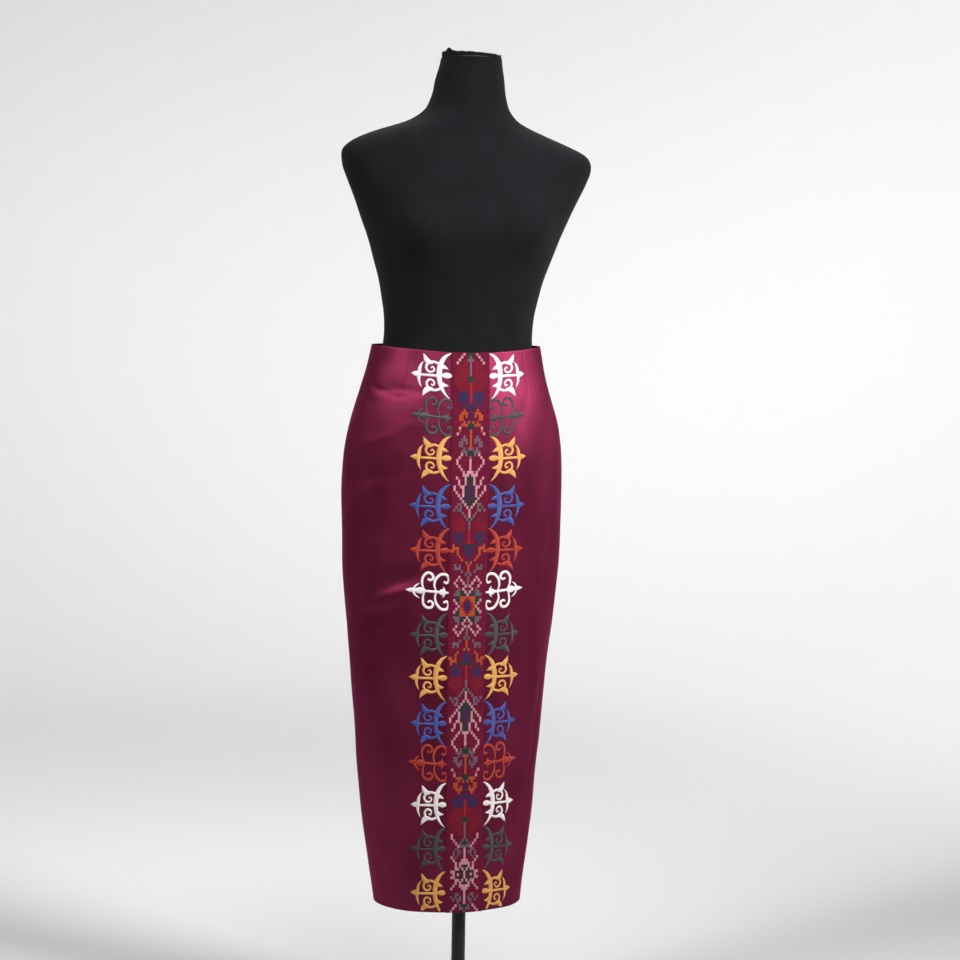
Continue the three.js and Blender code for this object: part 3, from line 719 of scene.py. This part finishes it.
WAIST_FIGURE = """
KK.P.....
GK..P....
GG...P...
G.rr..P..
G.rrrr...
G.rrrrr..
G.rrrrr..
Grrrrrrr.
KKrrrrrr.
KKrrrrrr.
Rrrrrrrr.
Rrrrrrr..
Rrrrrr...
"""
INDIGO_WEDGE = """
RriIIi...
RiIIIIi..
RiIIIIi..
RiiIIii..
Iiiiii...
IIiii....
"""
ORANGE_HOOKS = """
I..O.....
I.OOO....
I.O.OO...
I...OO...
KO.O.....
KKOOO....
KK...P...
O....O...
O.....P..
"""
GREY_HOOKS = """
O..G.....
O.GGG....
O.G.GG...
O...GG...
OG.G.....
KKGGG....
KKG.P....
G....P...
"""
LEGS = """
P.....P..
P.....P..
P....P...
P...P....
PP.P.....
KPPP.....
"""
BEETLE = """
KKP...P..
KKP..P...
VKP..P...
VVKPP..P.
VVKP...P.
VVKP..P..
VVKP.P...
VVKKP....
KKKP.....
KKP.GG...
KP..G.G..
P...GG.G.
P..G.....
P.G......
"""
RED_WINGS = """
KG..rr...
G..rrrrr.
G.rrrrrrr
G.rrrrrr.
R..rrrrr.
R..iIIii.
R..iIIIi.
R..iIIii.
Rrr.iii..
"""
LOW_ORANGE_HOOKS = """
KKK.ii.O.
IIK..OOO.
II...O.OO
II...O...
I...O....
I..O.....
KO.......
"""
LOW_GREY_HOOKS = """
O...G.G..
O...GGG..
O..G.....
KG.......
"""
PINK_ARCHES = """
G...P....
G..P.P...
G.P...P..
GP...P...
"""
STAR = """
..P.G....
.PKKGG...
PKKKGGG..
ROOOKK...
IROOKKP..
IIROKP...
"""
STAR_HEART = """
IIRRP....
"""
HEM_MEDALLION = """
G.....P..
KG...P...
KKG.P....
GGGP.....
P..GG....
P.GG.G...
P..G.G...
P...G.P..
PP...P...
PPP.P....
KKP.P....
KP.PP....
PKKK.PP..
P.KP.P...
PKKK.PP..
KP.PP....
KKP.P....
PPP..P...
PP....P..
P........
P..GG....
P.G.G.G..
P.GG.G...
P..G.....
KKG.P....
KGG..P...
G.....P..
"""
SKIPPED = (0, 1, 2, 16, 41, 70)  # rows of the upper half that its mirror leaves out


def chart(*figures):
    """The rows of several figures, one below another."""
    return [row for figure in figures for row in figure.split()]


upper_band = chart(
    WAIST_FIGURE, INDIGO_WEDGE, ORANGE_HOOKS, GREY_HOOKS, LEGS, BEETLE, RED_WINGS,
    LOW_ORANGE_HOOKS, LOW_GREY_HOOKS, PINK_ARCHES, STAR,
)
mirrored = [row for number, row in enumerate(upper_band) if number not in SKIPPED][::-1]
whole_band = upper_band + chart(STAR_HEART) + mirrored + chart(HEM_MEDALLION)


def tube_faces(first, rings, width):
    """Faces of a tube with closed ends, whose rings of points are numbered from first on."""
    faces = []
    for ring in range(first, first + (rings - 1) * width, width):
        for k in range(width):
            n = (k + 1) % width
            faces.append([ring + k, ring + n, ring + width + n, ring + width + k])
    faces.append([first + k for k in reversed(range(width))])
    faces.append([first + (rings - 1) * width + k for k in range(width)])
    return faces


def raised_cells(name, cells):
    """Small flat-topped blocks on the band: cells is a list of (column, row from the top)."""
    column, row = np.array(cells, float).T
    middle = SKIRT_LENGTH - (row + 0.5) * SKIRT_LENGTH / len(whole_band)
    half_tall = SKIRT_LENGTH / len(whole_band) / 2
    points = []
    for size, lift in CELL_LAYERS:
        for a, b in CELL_CORNERS:
            distance = (column + a * size / 2) * CELL
            height = np.clip(middle + b * size * half_tall, HEM_MARGIN, SKIRT_LENGTH - HEM_MARGIN)
            out = PIECE_GAP + STRIP_WALL + lift * CELL_HEIGHT
            points.append(cloth(strip_turn(distance, height), height, out))
    width = len(CELL_CORNERS)
    faces = []
    for first in range(0, len(cells) * len(points), len(points)):
        faces += tube_faces(first, len(CELL_LAYERS), width)
    return new_piece(name, np.stack(points, 1).reshape(-1, 3), faces, CELL_SHARP)


for letter, (yarn, tone, other) in YARNS.items():
    cells = [
        (side * column, row)
        for row, line in enumerate(whole_band)
        for column, mark in enumerate(line)
        for side in ((1, -1) if column else (1,))
        if mark == letter
    ]
    piece = raised_cells(f"langkit_{yarn}", cells)
    piece.data.materials.append(woven(f"yarn_{yarn}", tone, other))
    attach(piece, ROOT)


# ---------------------------------------------------------------- hand stitches
# Small slanting stitches in maroon thread fell both edges of the band to the satin. At
# centre back a slanting row of the same stitches holds the vent's flap at its top.

FELLING_PITCH = 5.2
FELLING_WANDER = 0.6
STITCH_SLANT = 1.4
HALF = 0.28
THREAD_SECTION = [(-HALF, 0), (HALF, 0), (0.6 * HALF, 0.4), (-0.6 * HALF, 0.4)]
THREAD_SHARP = 40
BAND_EDGE = STRIP_WIDTH / 2
OVER_EDGE = [(BAND_EDGE - 1.5, 1.25), (BAND_EDGE + 0.1, 1.05), (BAND_EDGE + 0.9, 0.0)]
OVER_FLAP = [(-1.4, 0.02), (0, 0.15), (1.4, 0.02)]
TACK_LENGTH = 34
TACK_COUNT = 9
TACK_ABOVE_VENT = 12
TACK_DROP = 22


def stitches(name, place, stations, middles):
    """Short stitches over (distance, height off the cloth) stations, one at each middle:
    (distance to add, height above the hem, side of the stations)."""
    points, faces = [], []
    for shift, middle, side in middles:
        tube = tube_faces(len(points), len(stations), len(THREAD_SECTION))
        faces += [face[::-1] for face in tube] if side > 0 else tube
        for i, (distance, off) in enumerate(stations):
            level = middle - STITCH_SLANT * (i / (len(stations) - 1) - 0.5)
            for rise, out in THREAD_SECTION:
                points.append((side * distance + shift, level + rise, off + out))
    distance, up, out = np.array(points).T
    piece = new_piece(name, cloth(place(distance, up), up, out), faces, THREAD_SHARP)
    piece.data.materials.append(sewing_thread)
    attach(piece, ROOT)
    return piece


sewing_thread, tree, shader = new_material("maroon_thread", (0.11, 0.008, 0.026), 0.5)
twist = noise_of(tree, (1500, 1500, 1500), 2)
tint(tree, shader, twist, (0.35, (0.085, 0.006, 0.02)), (0.65, (0.13, 0.01, 0.032)))
add_bump(tree, shader, twist, 0.5, 0.0001)

rng = random.Random(3)
levels = np.arange(4, SKIRT_LENGTH - 3, FELLING_PITCH)
middles = [
    (0, level + rng.uniform(-FELLING_WANDER, FELLING_WANDER), side) for side in (-1, 1) for level in levels
]
felling = stitches("band_stitches", strip_turn, OVER_EDGE, middles)
tack_top = VENT_HEIGHT + TACK_ABOVE_VENT
shares = np.linspace(0.05, 1, TACK_COUNT)
middles = [(TACK_LENGTH * share, tack_top - TACK_DROP * share, -1) for share in shares]
stitches("vent_stitches", lambda distance, up: turn_at(distance, up, True), OVER_FLAP, middles)


# ---------------------------------------------------------------- okir embroidery
# Two mirrored columns of okir scrollwork in padded satin stitch, worked on the front panel
# beside the strip. Each stroke is a ribbon of rayon thread, its stitches laid across it.

COLUMN_ARC = 58.5  # middle of a column, round the cloth from centre front
STITCH_HEIGHT = 0.95
STITCH_PITCH = 0.45
STEP = 1.1
PAD_HALF = 1.6  # a stroke with at least this half width is padded to its full height
THIN_PAD = 0.45
UNDER_THREAD = 0.05
CUT_MARGIN = 0.8
OKIR_SHARP = 60
MOTIF_INSIDE = 31  # from a motif's middle to its edge beside the strip
RIBBON = [(-1, 0.0), (-0.86, 0.55), (-0.45, 0.9), (0, 1.0), (0.45, 0.9), (0.86, 0.55), (1, 0.0)]

# Strokes, in millimetres from the motif's middle, x towards centre front and y up. "wide" is
# the widest place, "swell" is where along the stroke it lies, "ends" are the shares of it
# that the two ends have, and a higher "point" draws the ends out finer.
STROKE = "path wide swell ends point"
LUNE = table(STROKE, [
    ([(30, 36), (20, 30), (13, 20), (10, 8), (10, -6), (13, -19), (19, -29), (26, -36)],
     8.4, 0.42, (0.03, 0.03), 0.85),
    ([(12, 0), (22, 0.5), (32.5, 0)], 8.8, 0.48, (0.3, 0.01), 1.1),
    ([(10, 13), (16, 13.5), (24, 10.5)], 8, 0.1, (0.9, 0.02), 1),
    ([(10, -12), (16, -14.5), (24, -15)], 8, 0.1, (0.9, 0.02), 1),
    ([(11, -1), (-2, -0.6), (-19, -1)], 4.2, 0.5, (0.8, 0.8), 1),
    ([(11, 17), (2, 20), (-7, 18), (-11, 11), (-7, 5), (-1, 5), (2, 9), (-0.5, 12.5), (-3, 10.5)],
     4.1, 0.3, (0.9, 0.5), 1),
    ([(12, -20), (3, -23), (-6, -21), (-10, -14), (-7, -8), (-1, -8), (2, -12), (0, -16), (-3, -14)],
     4.1, 0.3, (0.9, 0.5), 1),
    ([(0, 18), (-9, 21), (-15, 32)], 8.4, 0.4, (0.3, 0.01), 1.1),
    ([(0, -21), (-10, -23), (-17, -33)], 8.4, 0.4, (0.3, 0.01), 1.1),
    ([(-15, 20), (-20, 12), (-22, 0), (-22, -10), (-18, -20)], 5.8, 0.45, (0.05, 0.05), 0.9),
    ([(-19, -0.5), (-26, 0), (-35, 0)], 8.6, 0.42, (0.3, 0.01), 1.3),
])
SPEAR = table(STROKE, [
    ([(-35, 1), (-26, 0.8), (-19, 0.5)], 7, 0.6, (0.01, 0.5), 1.2),
    ([(-23, 0.6), (-14, 0.3), (-4, 0)], 10.5, 0.5, (0.2, 0.2), 1.2),
    ([(-8, 0), (6, -1), (31, -2.5)], 4.2, 0.4, (0.9, 0.8), 1),
    ([(13, -1), (19, -1.6), (27, -2)], 9.6, 0.4, (0.2, 0.2), 1.2),
    ([(-15, 12), (-21, 7), (-23, 0), (-21, -7), (-15, -12)], 3.8, 0.5, (0.1, 0.1), 0.8),
    ([(20, 7), (22, 3), (22, -6), (19, -10)], 3.6, 0.5, (0.1, 0.1), 0.8),
    ([(10, -1), (7, 9), (9, 19), (16, 26), (25, 26), (29, 19), (26, 13), (21, 15)],
     4.3, 0.5, (0.5, 0.8), 1),
    ([(10, -1), (8, -11), (11, -21), (18, -28), (26, -28), (29, -21), (26, -16), (21, -18)],
     4.3, 0.5, (0.5, 0.8), 1),
    ([(-7, 1), (-11, 10), (-11, 21), (-5, 28), (2, 27), (5, 21), (1, 17), (-3, 19)],
     4.2, 0.5, (0.5, 0.8), 1),
    ([(-7, 0), (-10, -9), (-10, -20), (-5, -26), (2, -26), (5, -20), (1, -16), (-3, -18)],
     4.2, 0.5, (0.5, 0.8), 1),
])

OKIR_ROWS = table("up wide thread motif", [
    (848, 1, "white", LUNE),
    (785, 1, "grey", SPEAR),
    (721, 1, "gold", LUNE),
    (646, 1, "blue", LUNE),
    (577, 0.97, "red", LUNE),
    (513.5, 1, "white", SPEAR),
    (444, 0.93, "grey", LUNE),
    (376.5, 0.93, "gold", LUNE),
    (304, 0.89, "blue", LUNE),
    (241, 0.94, "red", SPEAR),
    (174, 0.87, "white", LUNE),
    (103, 0.87, "grey", LUNE),
    (31.5, 0.87, "gold", LUNE),
])
THREADS = {
    "white": ((0.88, 0.8, 0.8), (0.79, 0.71, 0.72)),
    "gold": ((0.77, 0.38, 0.09), (0.63, 0.29, 0.07)),
    "blue": ((0.042, 0.075, 0.32), (0.035, 0.055, 0.24)),
    "red": ((0.42, 0.03, 0.01), (0.33, 0.022, 0.01)),
    "grey": ((0.05, 0.05, 0.055), (0.037, 0.037, 0.041)),
}


def smooth_path(path):
    """A curve through a few points, as points about STEP apart with their share of its length."""
    path = np.array(path, float)
    ends = np.concatenate([[2 * path[0] - path[1]], path, [2 * path[-1] - path[-2]]])
    t = np.linspace(0, 1, 16, endpoint=False)[:, None]
    bits = []
    for a, b, c, d in zip(ends, ends[1:], ends[2:], ends[3:]):
        bits.append(0.5 * (2 * b + (c - a) * t + (2 * a - 5 * b + 4 * c - d) * t**2
                           + (3 * b - a - 3 * c + d) * t**3))
    fine = np.concatenate(bits + [path[-1:]])
    length = np.concatenate([[0], np.cumsum(np.linalg.norm(np.diff(fine, axis=0), axis=1))])
    at = np.linspace(0, length[-1], max(int(length[-1] / STEP), 8) + 1)
    points = np.stack([np.interp(at, length, fine[:, k]) for k in (0, 1)], 1)
    return points, at / length[-1], at


def turn_at_arc(arc, up):
    """The turn of points an arc's length round the cloth from centre front, either way."""
    levels = np.linspace(0, SKIRT_LENGTH, 120)
    grid = np.linspace(0, 60, 61)
    reach = skirt_reach(grid, levels[:, None])
    x, y = reach * np.sin(np.radians(grid)), reach * np.cos(np.radians(grid))
    length = np.cumsum(np.hypot(np.diff(x, axis=1), np.diff(y, axis=1)), axis=1)
    length = np.concatenate([np.zeros((len(levels), 1)), length], 1)
    level = np.clip(up / SKIRT_LENGTH * (len(levels) - 1), 0, len(levels) - 1.001)
    low = level.astype(int)
    found = np.array([
        [np.interp(a, length[i], grid), np.interp(a, length[i + 1], grid)] for a, i in zip(np.abs(arc), low)
    ])
    return np.sign(arc) * (found[:, 0] + (found[:, 1] - found[:, 0]) * (level - low))


def tapered(end, share, point):
    """Share of the full width, from a stroke's end to its widest place."""
    return end + (1 - end) * np.sin(math.pi / 2 * np.clip(share, 0, 1)) ** point


def stroke_ribbon(stroke, middle_up, narrowed, side):
    """One stroke as points (arc, height on the skirt, height off it), its faces, and the
    thread's own coordinates along and across it."""
    centre, share, run = smooth_path(stroke["path"])
    heading = np.gradient(centre, axis=0)
    heading /= np.linalg.norm(heading, axis=1, keepdims=True)
    across = np.stack([-heading[:, 1], heading[:, 0]], 1)
    swell, (first, last) = stroke["swell"], stroke["ends"]
    rising = tapered(first, share / swell, stroke["point"])
    falling = tapered(last, (1 - share) / (1 - swell), stroke["point"])
    half = stroke["wide"] / 2 * np.where(share < swell, rising, falling)
    keep = middle_up + centre[:, 1] > half + CUT_MARGIN
    centre, across, half, run = centre[keep], across[keep], half[keep], run[keep]
    offset, lift = np.array(RIBBON).T
    local = centre[:, None] + across[:, None] * (half[:, None] * offset)[..., None]
    height = UNDER_THREAD + STITCH_HEIGHT * lift * np.clip(half / PAD_HALF, THIN_PAD, 1)[:, None]
    arc = COLUMN_ARC - MOTIF_INSIDE + (MOTIF_INSIDE - local[..., 0]) * narrowed
    points = np.stack([side * arc, middle_up + local[..., 1], height], -1)
    threads = np.stack([np.broadcast_to(run[:, None], height.shape), half[:, None] * offset], -1)
    faces = tube_faces(0, len(centre), len(RIBBON))
    if side < 0:
        faces = [face[::-1] for face in faces]
    return points.reshape(-1, 3), faces, threads.reshape(-1, 2)


def thread_material(name, tone, other):
    """Rayon thread: fine ridges across each stroke, with the soft gloss of satin stitch."""
    made, tree, shader = new_material(
        name, tone, 0.42, Sheen_Weight=0.2, Sheen_Roughness=0.4, Specular_IOR_Level=0.35
    )
    place = tree.nodes.new("ShaderNodeUVMap")
    split = tree.nodes.new("ShaderNodeSeparateXYZ")
    tree.links.new(place.outputs["UV"], split.inputs["Vector"])
    wander = noise_of(tree, (600, 600, 600), 2)
    shifted = tree.nodes.new("ShaderNodeMath")
    shifted.operation = "MULTIPLY_ADD"
    shifted.inputs[1].default_value = 2 * math.pi / STITCH_PITCH
    tree.links.new(split.outputs["X"], shifted.inputs[0])
    tree.links.new(spread(tree, wander, -2.4, 2.4), shifted.inputs[2])
    ridge = tree.nodes.new("ShaderNodeMath")
    ridge.operation = "SINE"
    tree.links.new(shifted.outputs["Value"], ridge.inputs[0])
    lots = noise_of(tree, (260, 260, 260), 3)
    tint(tree, shader, lots, (0.35, other), (0.65, tone))
    tree.links.new(spread(tree, lots, 0.36, 0.5), shader.inputs["Roughness"])
    add_bump(tree, shader, ridge.outputs["Value"], 0.45, 0.00012)
    return made


for thread, (tone, other) in THREADS.items():
    points, faces, threads = [], [], []
    for row in OKIR_ROWS:
        if row["thread"] != thread:
            continue
        for side in (-1, 1):
            for stroke in row["motif"]:
                more_points, more_faces, more_threads = stroke_ribbon(stroke, row["up"], row["wide"], side)
                first = sum(len(p) for p in points)
                points.append(more_points)
                threads.append(more_threads)
                faces += [[first + k for k in face] for face in more_faces]
    arc, up, out = np.concatenate(points).T
    up = np.clip(up, 0.5, SKIRT_LENGTH - 0.5)
    drift = np.interp(up, *np.array(STRIP_DRIFT).T)
    piece = new_piece(f"okir_{thread}", cloth(turn_at_arc(arc + drift, up), up, out), faces, OKIR_SHARP)
    thread_uv = np.concatenate(threads)
    corners = np.array([loop.vertex_index for loop in piece.data.loops])
    layer = piece.data.uv_layers.new(name="thread")
    layer.data.foreach_set("uv", thread_uv[corners].astype(np.float32).ravel())
    piece.data.materials.append(thread_material(f"thread_{thread}", tone, other))
    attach(piece, ROOT)


# ---------------------------------------------------------------- dress form
# A limbless women's display form under a drawn-on cover of black cotton jersey, neck to
# hip, with a flat underside and a socket for the pole.

SEAT_RINGS = table("up side front back", [
    (552, 23, 17, 23),
    (566, 11, 9, 11),
    (598, 3.5, 4, 3.5),
    (644, 0.6, 2, 0.6),
    (690, 0.5, 1.5, 0.5),
    (720, 0.6, 1.6, 0.8),
    (750, 1.4, 2.6, 2),
    (780, 3.6, 4.6, 4),
    (810, 7, 7, 7),
    (840, 10.5, 9.5, 10),
])
FORM_RINGS = table("height half front back aside square", [
    (1075, 122, 87.5, 85, -12.5, 2.12),
    (1100, 118.5, 84.5, 82, -11, 2.1),
    (1141, 119.5, 88, 84, -9.5, 2.1),
    (1169, 124.5, 93, 88, -8.5, 2.1),
    (1197, 130.5, 99, 93, -7.5, 2.1),
    (1228, 140, 104, 98, -6.5, 2.1),
    (1260, 150.5, 107, 102, -5, 2.1),
    (1291, 164, 106, 104, -3, 2.08),
    (1323, 178, 101, 102, -0.5, 2.05),
    (1353, 192, 94, 97, 1, 2),
    (1372, 199, 88, 92, 1, 2),
    (1385, 199.5, 84, 88, -0.5, 2),
    (1397, 194, 80, 84, -5, 2),
    (1407, 179, 77, 80, -11, 2),
    (1418, 156, 74, 76, -15, 2),
    (1430, 125, 71, 71, -14, 2),
    (1442, 93, 68.5, 64, -8, 2),
    (1458, 70.5, 66, 57, -2.5, 2),
    (1480, 59.5, 64, 50, 0, 2),
    (1510, 54, 62, 44, 1.5, 2),
    (1532, 49, 60, 39, 3, 2),
    (1542, 47.5, 60, 37, 3.5, 2),
])
BUST = {"height": 1273, "aside": 74, "tall": 47, "wide": 50, "lift": 20}
FORM_SIDES = 160
FORM_STEP = 5
FORM_SHARP = 40


def seat_ring(row):
    """A ring of the form inside the skirt, from how far it keeps clear of the satin."""
    ring = {name: float(ring_value(name, row["up"])) for name in ("half", "front", "back", "aside")}
    ring["half"] -= SATIN_WALL + row["side"]
    ring["front"] -= SATIN_WALL + row["front"]
    ring["back"] -= SATIN_WALL + row["back"]
    return {**ring, "height": HEM_HEIGHT + row["up"], "square": RING_SQUARENESS}


form_rows = [seat_ring(row) for row in SEAT_RINGS] + FORM_RINGS
at = np.array([row["height"] for row in form_rows], float)
fine = np.unique(np.concatenate([
    np.linspace(low, high, max(int((high - low) / FORM_STEP), 1) + 1) for low, high in zip(at, at[1:])
]))


def smooth_rows(name):
    """One column of the form's rings at every fine height."""
    value = np.array([row[name] for row in form_rows], float)
    return curve_through(at, value, np.gradient(value, at), fine)


form = {name: smooth_rows(name)[:, None] for name in ("half", "front", "back", "aside", "square")}
turn = np.linspace(0, 360, FORM_SIDES, endpoint=False)[None, :]
height = fine[:, None]
facing = np.cos(np.radians(turn)) > 0
reach = ring_reach(turn, form["half"], np.where(facing, form["front"], form["back"]), form["square"])
x = reach * np.sin(np.radians(turn))
above = (height - BUST["height"]) / BUST["tall"]
bust = sum(
    BUST["lift"] * np.exp(-(above**2) - ((x - side * BUST["aside"]) / BUST["wide"]) ** 2) for side in (-1, 1)
)
reach = reach + np.where(facing, bust, 0)
points = np.stack([
    form["aside"] + reach * np.sin(np.radians(turn)),
    -reach * np.cos(np.radians(turn)),
    np.broadcast_to(height, reach.shape),
], -1) * MM
rings = len(fine)
number = np.arange(rings * FORM_SIDES).reshape(rings, FORM_SIDES)
after = np.roll(number, -1, axis=1)
faces = np.stack([number[:-1], after[:-1], after[1:], number[1:]], -1).reshape(-1, 4).tolist()
points = points.reshape(-1, 3).tolist()

# The neck's flat top, and the underside with the socket that the pole goes up into.
socket = POLE_RADIUS + BORE_CLEARANCE
angle = np.radians(turn[0])
socket_ring = np.stack([POLE_ASIDE + socket * np.sin(angle), -socket * np.cos(angle)], 1)
socket_top = pole_high.z + BORE_CLEARANCE
first = len(points)
points += [(a, b, fine[0] * MM) for a, b in socket_ring]
points += [(a, b, socket_top) for a, b in socket_ring]
for k in range(FORM_SIDES):
    n = (k + 1) % FORM_SIDES
    faces.append([k, first + k, first + n, n])
    faces.append([first + k, first + FORM_SIDES + k, first + FORM_SIDES + n, first + n])
faces.append([first + FORM_SIDES + k for k in range(FORM_SIDES)][::-1])
faces.append([(rings - 1) * FORM_SIDES + k for k in range(FORM_SIDES)])
torso = new_piece("torso", points, faces, FORM_SHARP)

jersey, tree, shader = new_material(
    "black_jersey", (0.0075, 0.0078, 0.0095), 0.86, Specular_IOR_Level=0.1, Sheen_Weight=0.03
)
wales = noise_of(tree, (1100, 1100, 420), 2)
lint = noise_of(tree, (30, 30, 22), 5)
tint(tree, shader, lint, (0.35, (0.0065, 0.0068, 0.0084)), (0.7, (0.0085, 0.0089, 0.0108)))
add_bump(tree, shader, wales, 0.5, 0.00022)
torso.data.materials.append(jersey)
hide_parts("form_torso")
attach(torso, ROOT)


# ---------------------------------------------------------------- neck edge of the cover
# The jersey cover's raw edge, turned up round the neck's top. It is cut by hand, so it
# waves and stands up in small peaks.

COVER_WALL = 1.2
COVER_RISE = 6
COVER_SLANT = 3  # the edge is this much higher at the wearer's right, and lower at the left
COVER_INSET = 1.2
COVER_STEPS = 240
COVER_ROWS = 7
COVER_WAVES = 11
COVER_WAVE = 0.35
FRAY = 0.7
COVER_PEAKS = table("turn spread rise", [(-58, 9, 5), (68, 8, 3), (152, 10, 2.5)])

turn = np.linspace(0, 360, COVER_STEPS + 1)
neck = FORM_RINGS[-1]
depth = np.where(np.cos(np.radians(turn)) > 0, neck["front"], neck["back"])
reach = ring_reach(turn, neck["half"], depth, neck["square"])
rise = COVER_RISE - COVER_SLANT * np.sin(np.radians(turn))
for peak in COVER_PEAKS:
    distance = (turn - peak["turn"] + 180) % 360 - 180
    rise += peak["rise"] * np.exp(-((distance / peak["spread"]) ** 2))
rng = random.Random(7)
frays = [rng.uniform(-FRAY, FRAY) for _ in range(COVER_STEPS)]
rise += np.array(frays + frays[:1])


def cover_face(inset):
    """One face of the edge, so far inside the form's neck."""
    share = np.linspace(0, 1, COVER_ROWS)[:, None]
    wave = COVER_WAVE * np.sin(np.radians(turn * COVER_WAVES)) * share
    out = reach - inset + wave
    return np.stack([
        neck["aside"] + out * np.sin(np.radians(turn)),
        -out * np.cos(np.radians(turn)),
        neck["height"] + PIECE_GAP + rise * share,
    ], -1) * MM


cover = wall("cover_edge", cover_face(COVER_INSET), cover_face(COVER_INSET + COVER_WALL))
cover.data.materials.append(jersey)
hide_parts("form_cover_edge")
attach(cover, ROOT)


# ---------------------------------------------------------------- zip
# The slider and hanging pull of a concealed zip at centre back, enamelled maroon. The pull
# hangs from the slider's bridge.

enamel, tree, shader = new_material(
    "maroon_enamel", (0.17, 0.014, 0.05), 0.35, Metallic=0.5, Specular_IOR_Level=0.15
)
rub = noise_of(tree, (320, 320, 320), 4)
tint(tree, shader, rub, (0.35, (0.15, 0.011, 0.042)), (0.7, (0.19, 0.018, 0.058)))
tree.links.new(spread(tree, rub, 0.3, 0.45), shader.inputs["Roughness"])
for node in ("zip_slider", "zip_pull"):
    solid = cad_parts[node]
    solid.data.materials.clear()
    solid.data.materials.append(enamel)
    solid.data.polygons.foreach_set("material_index", np.zeros(len(solid.data.polygons), np.int32))
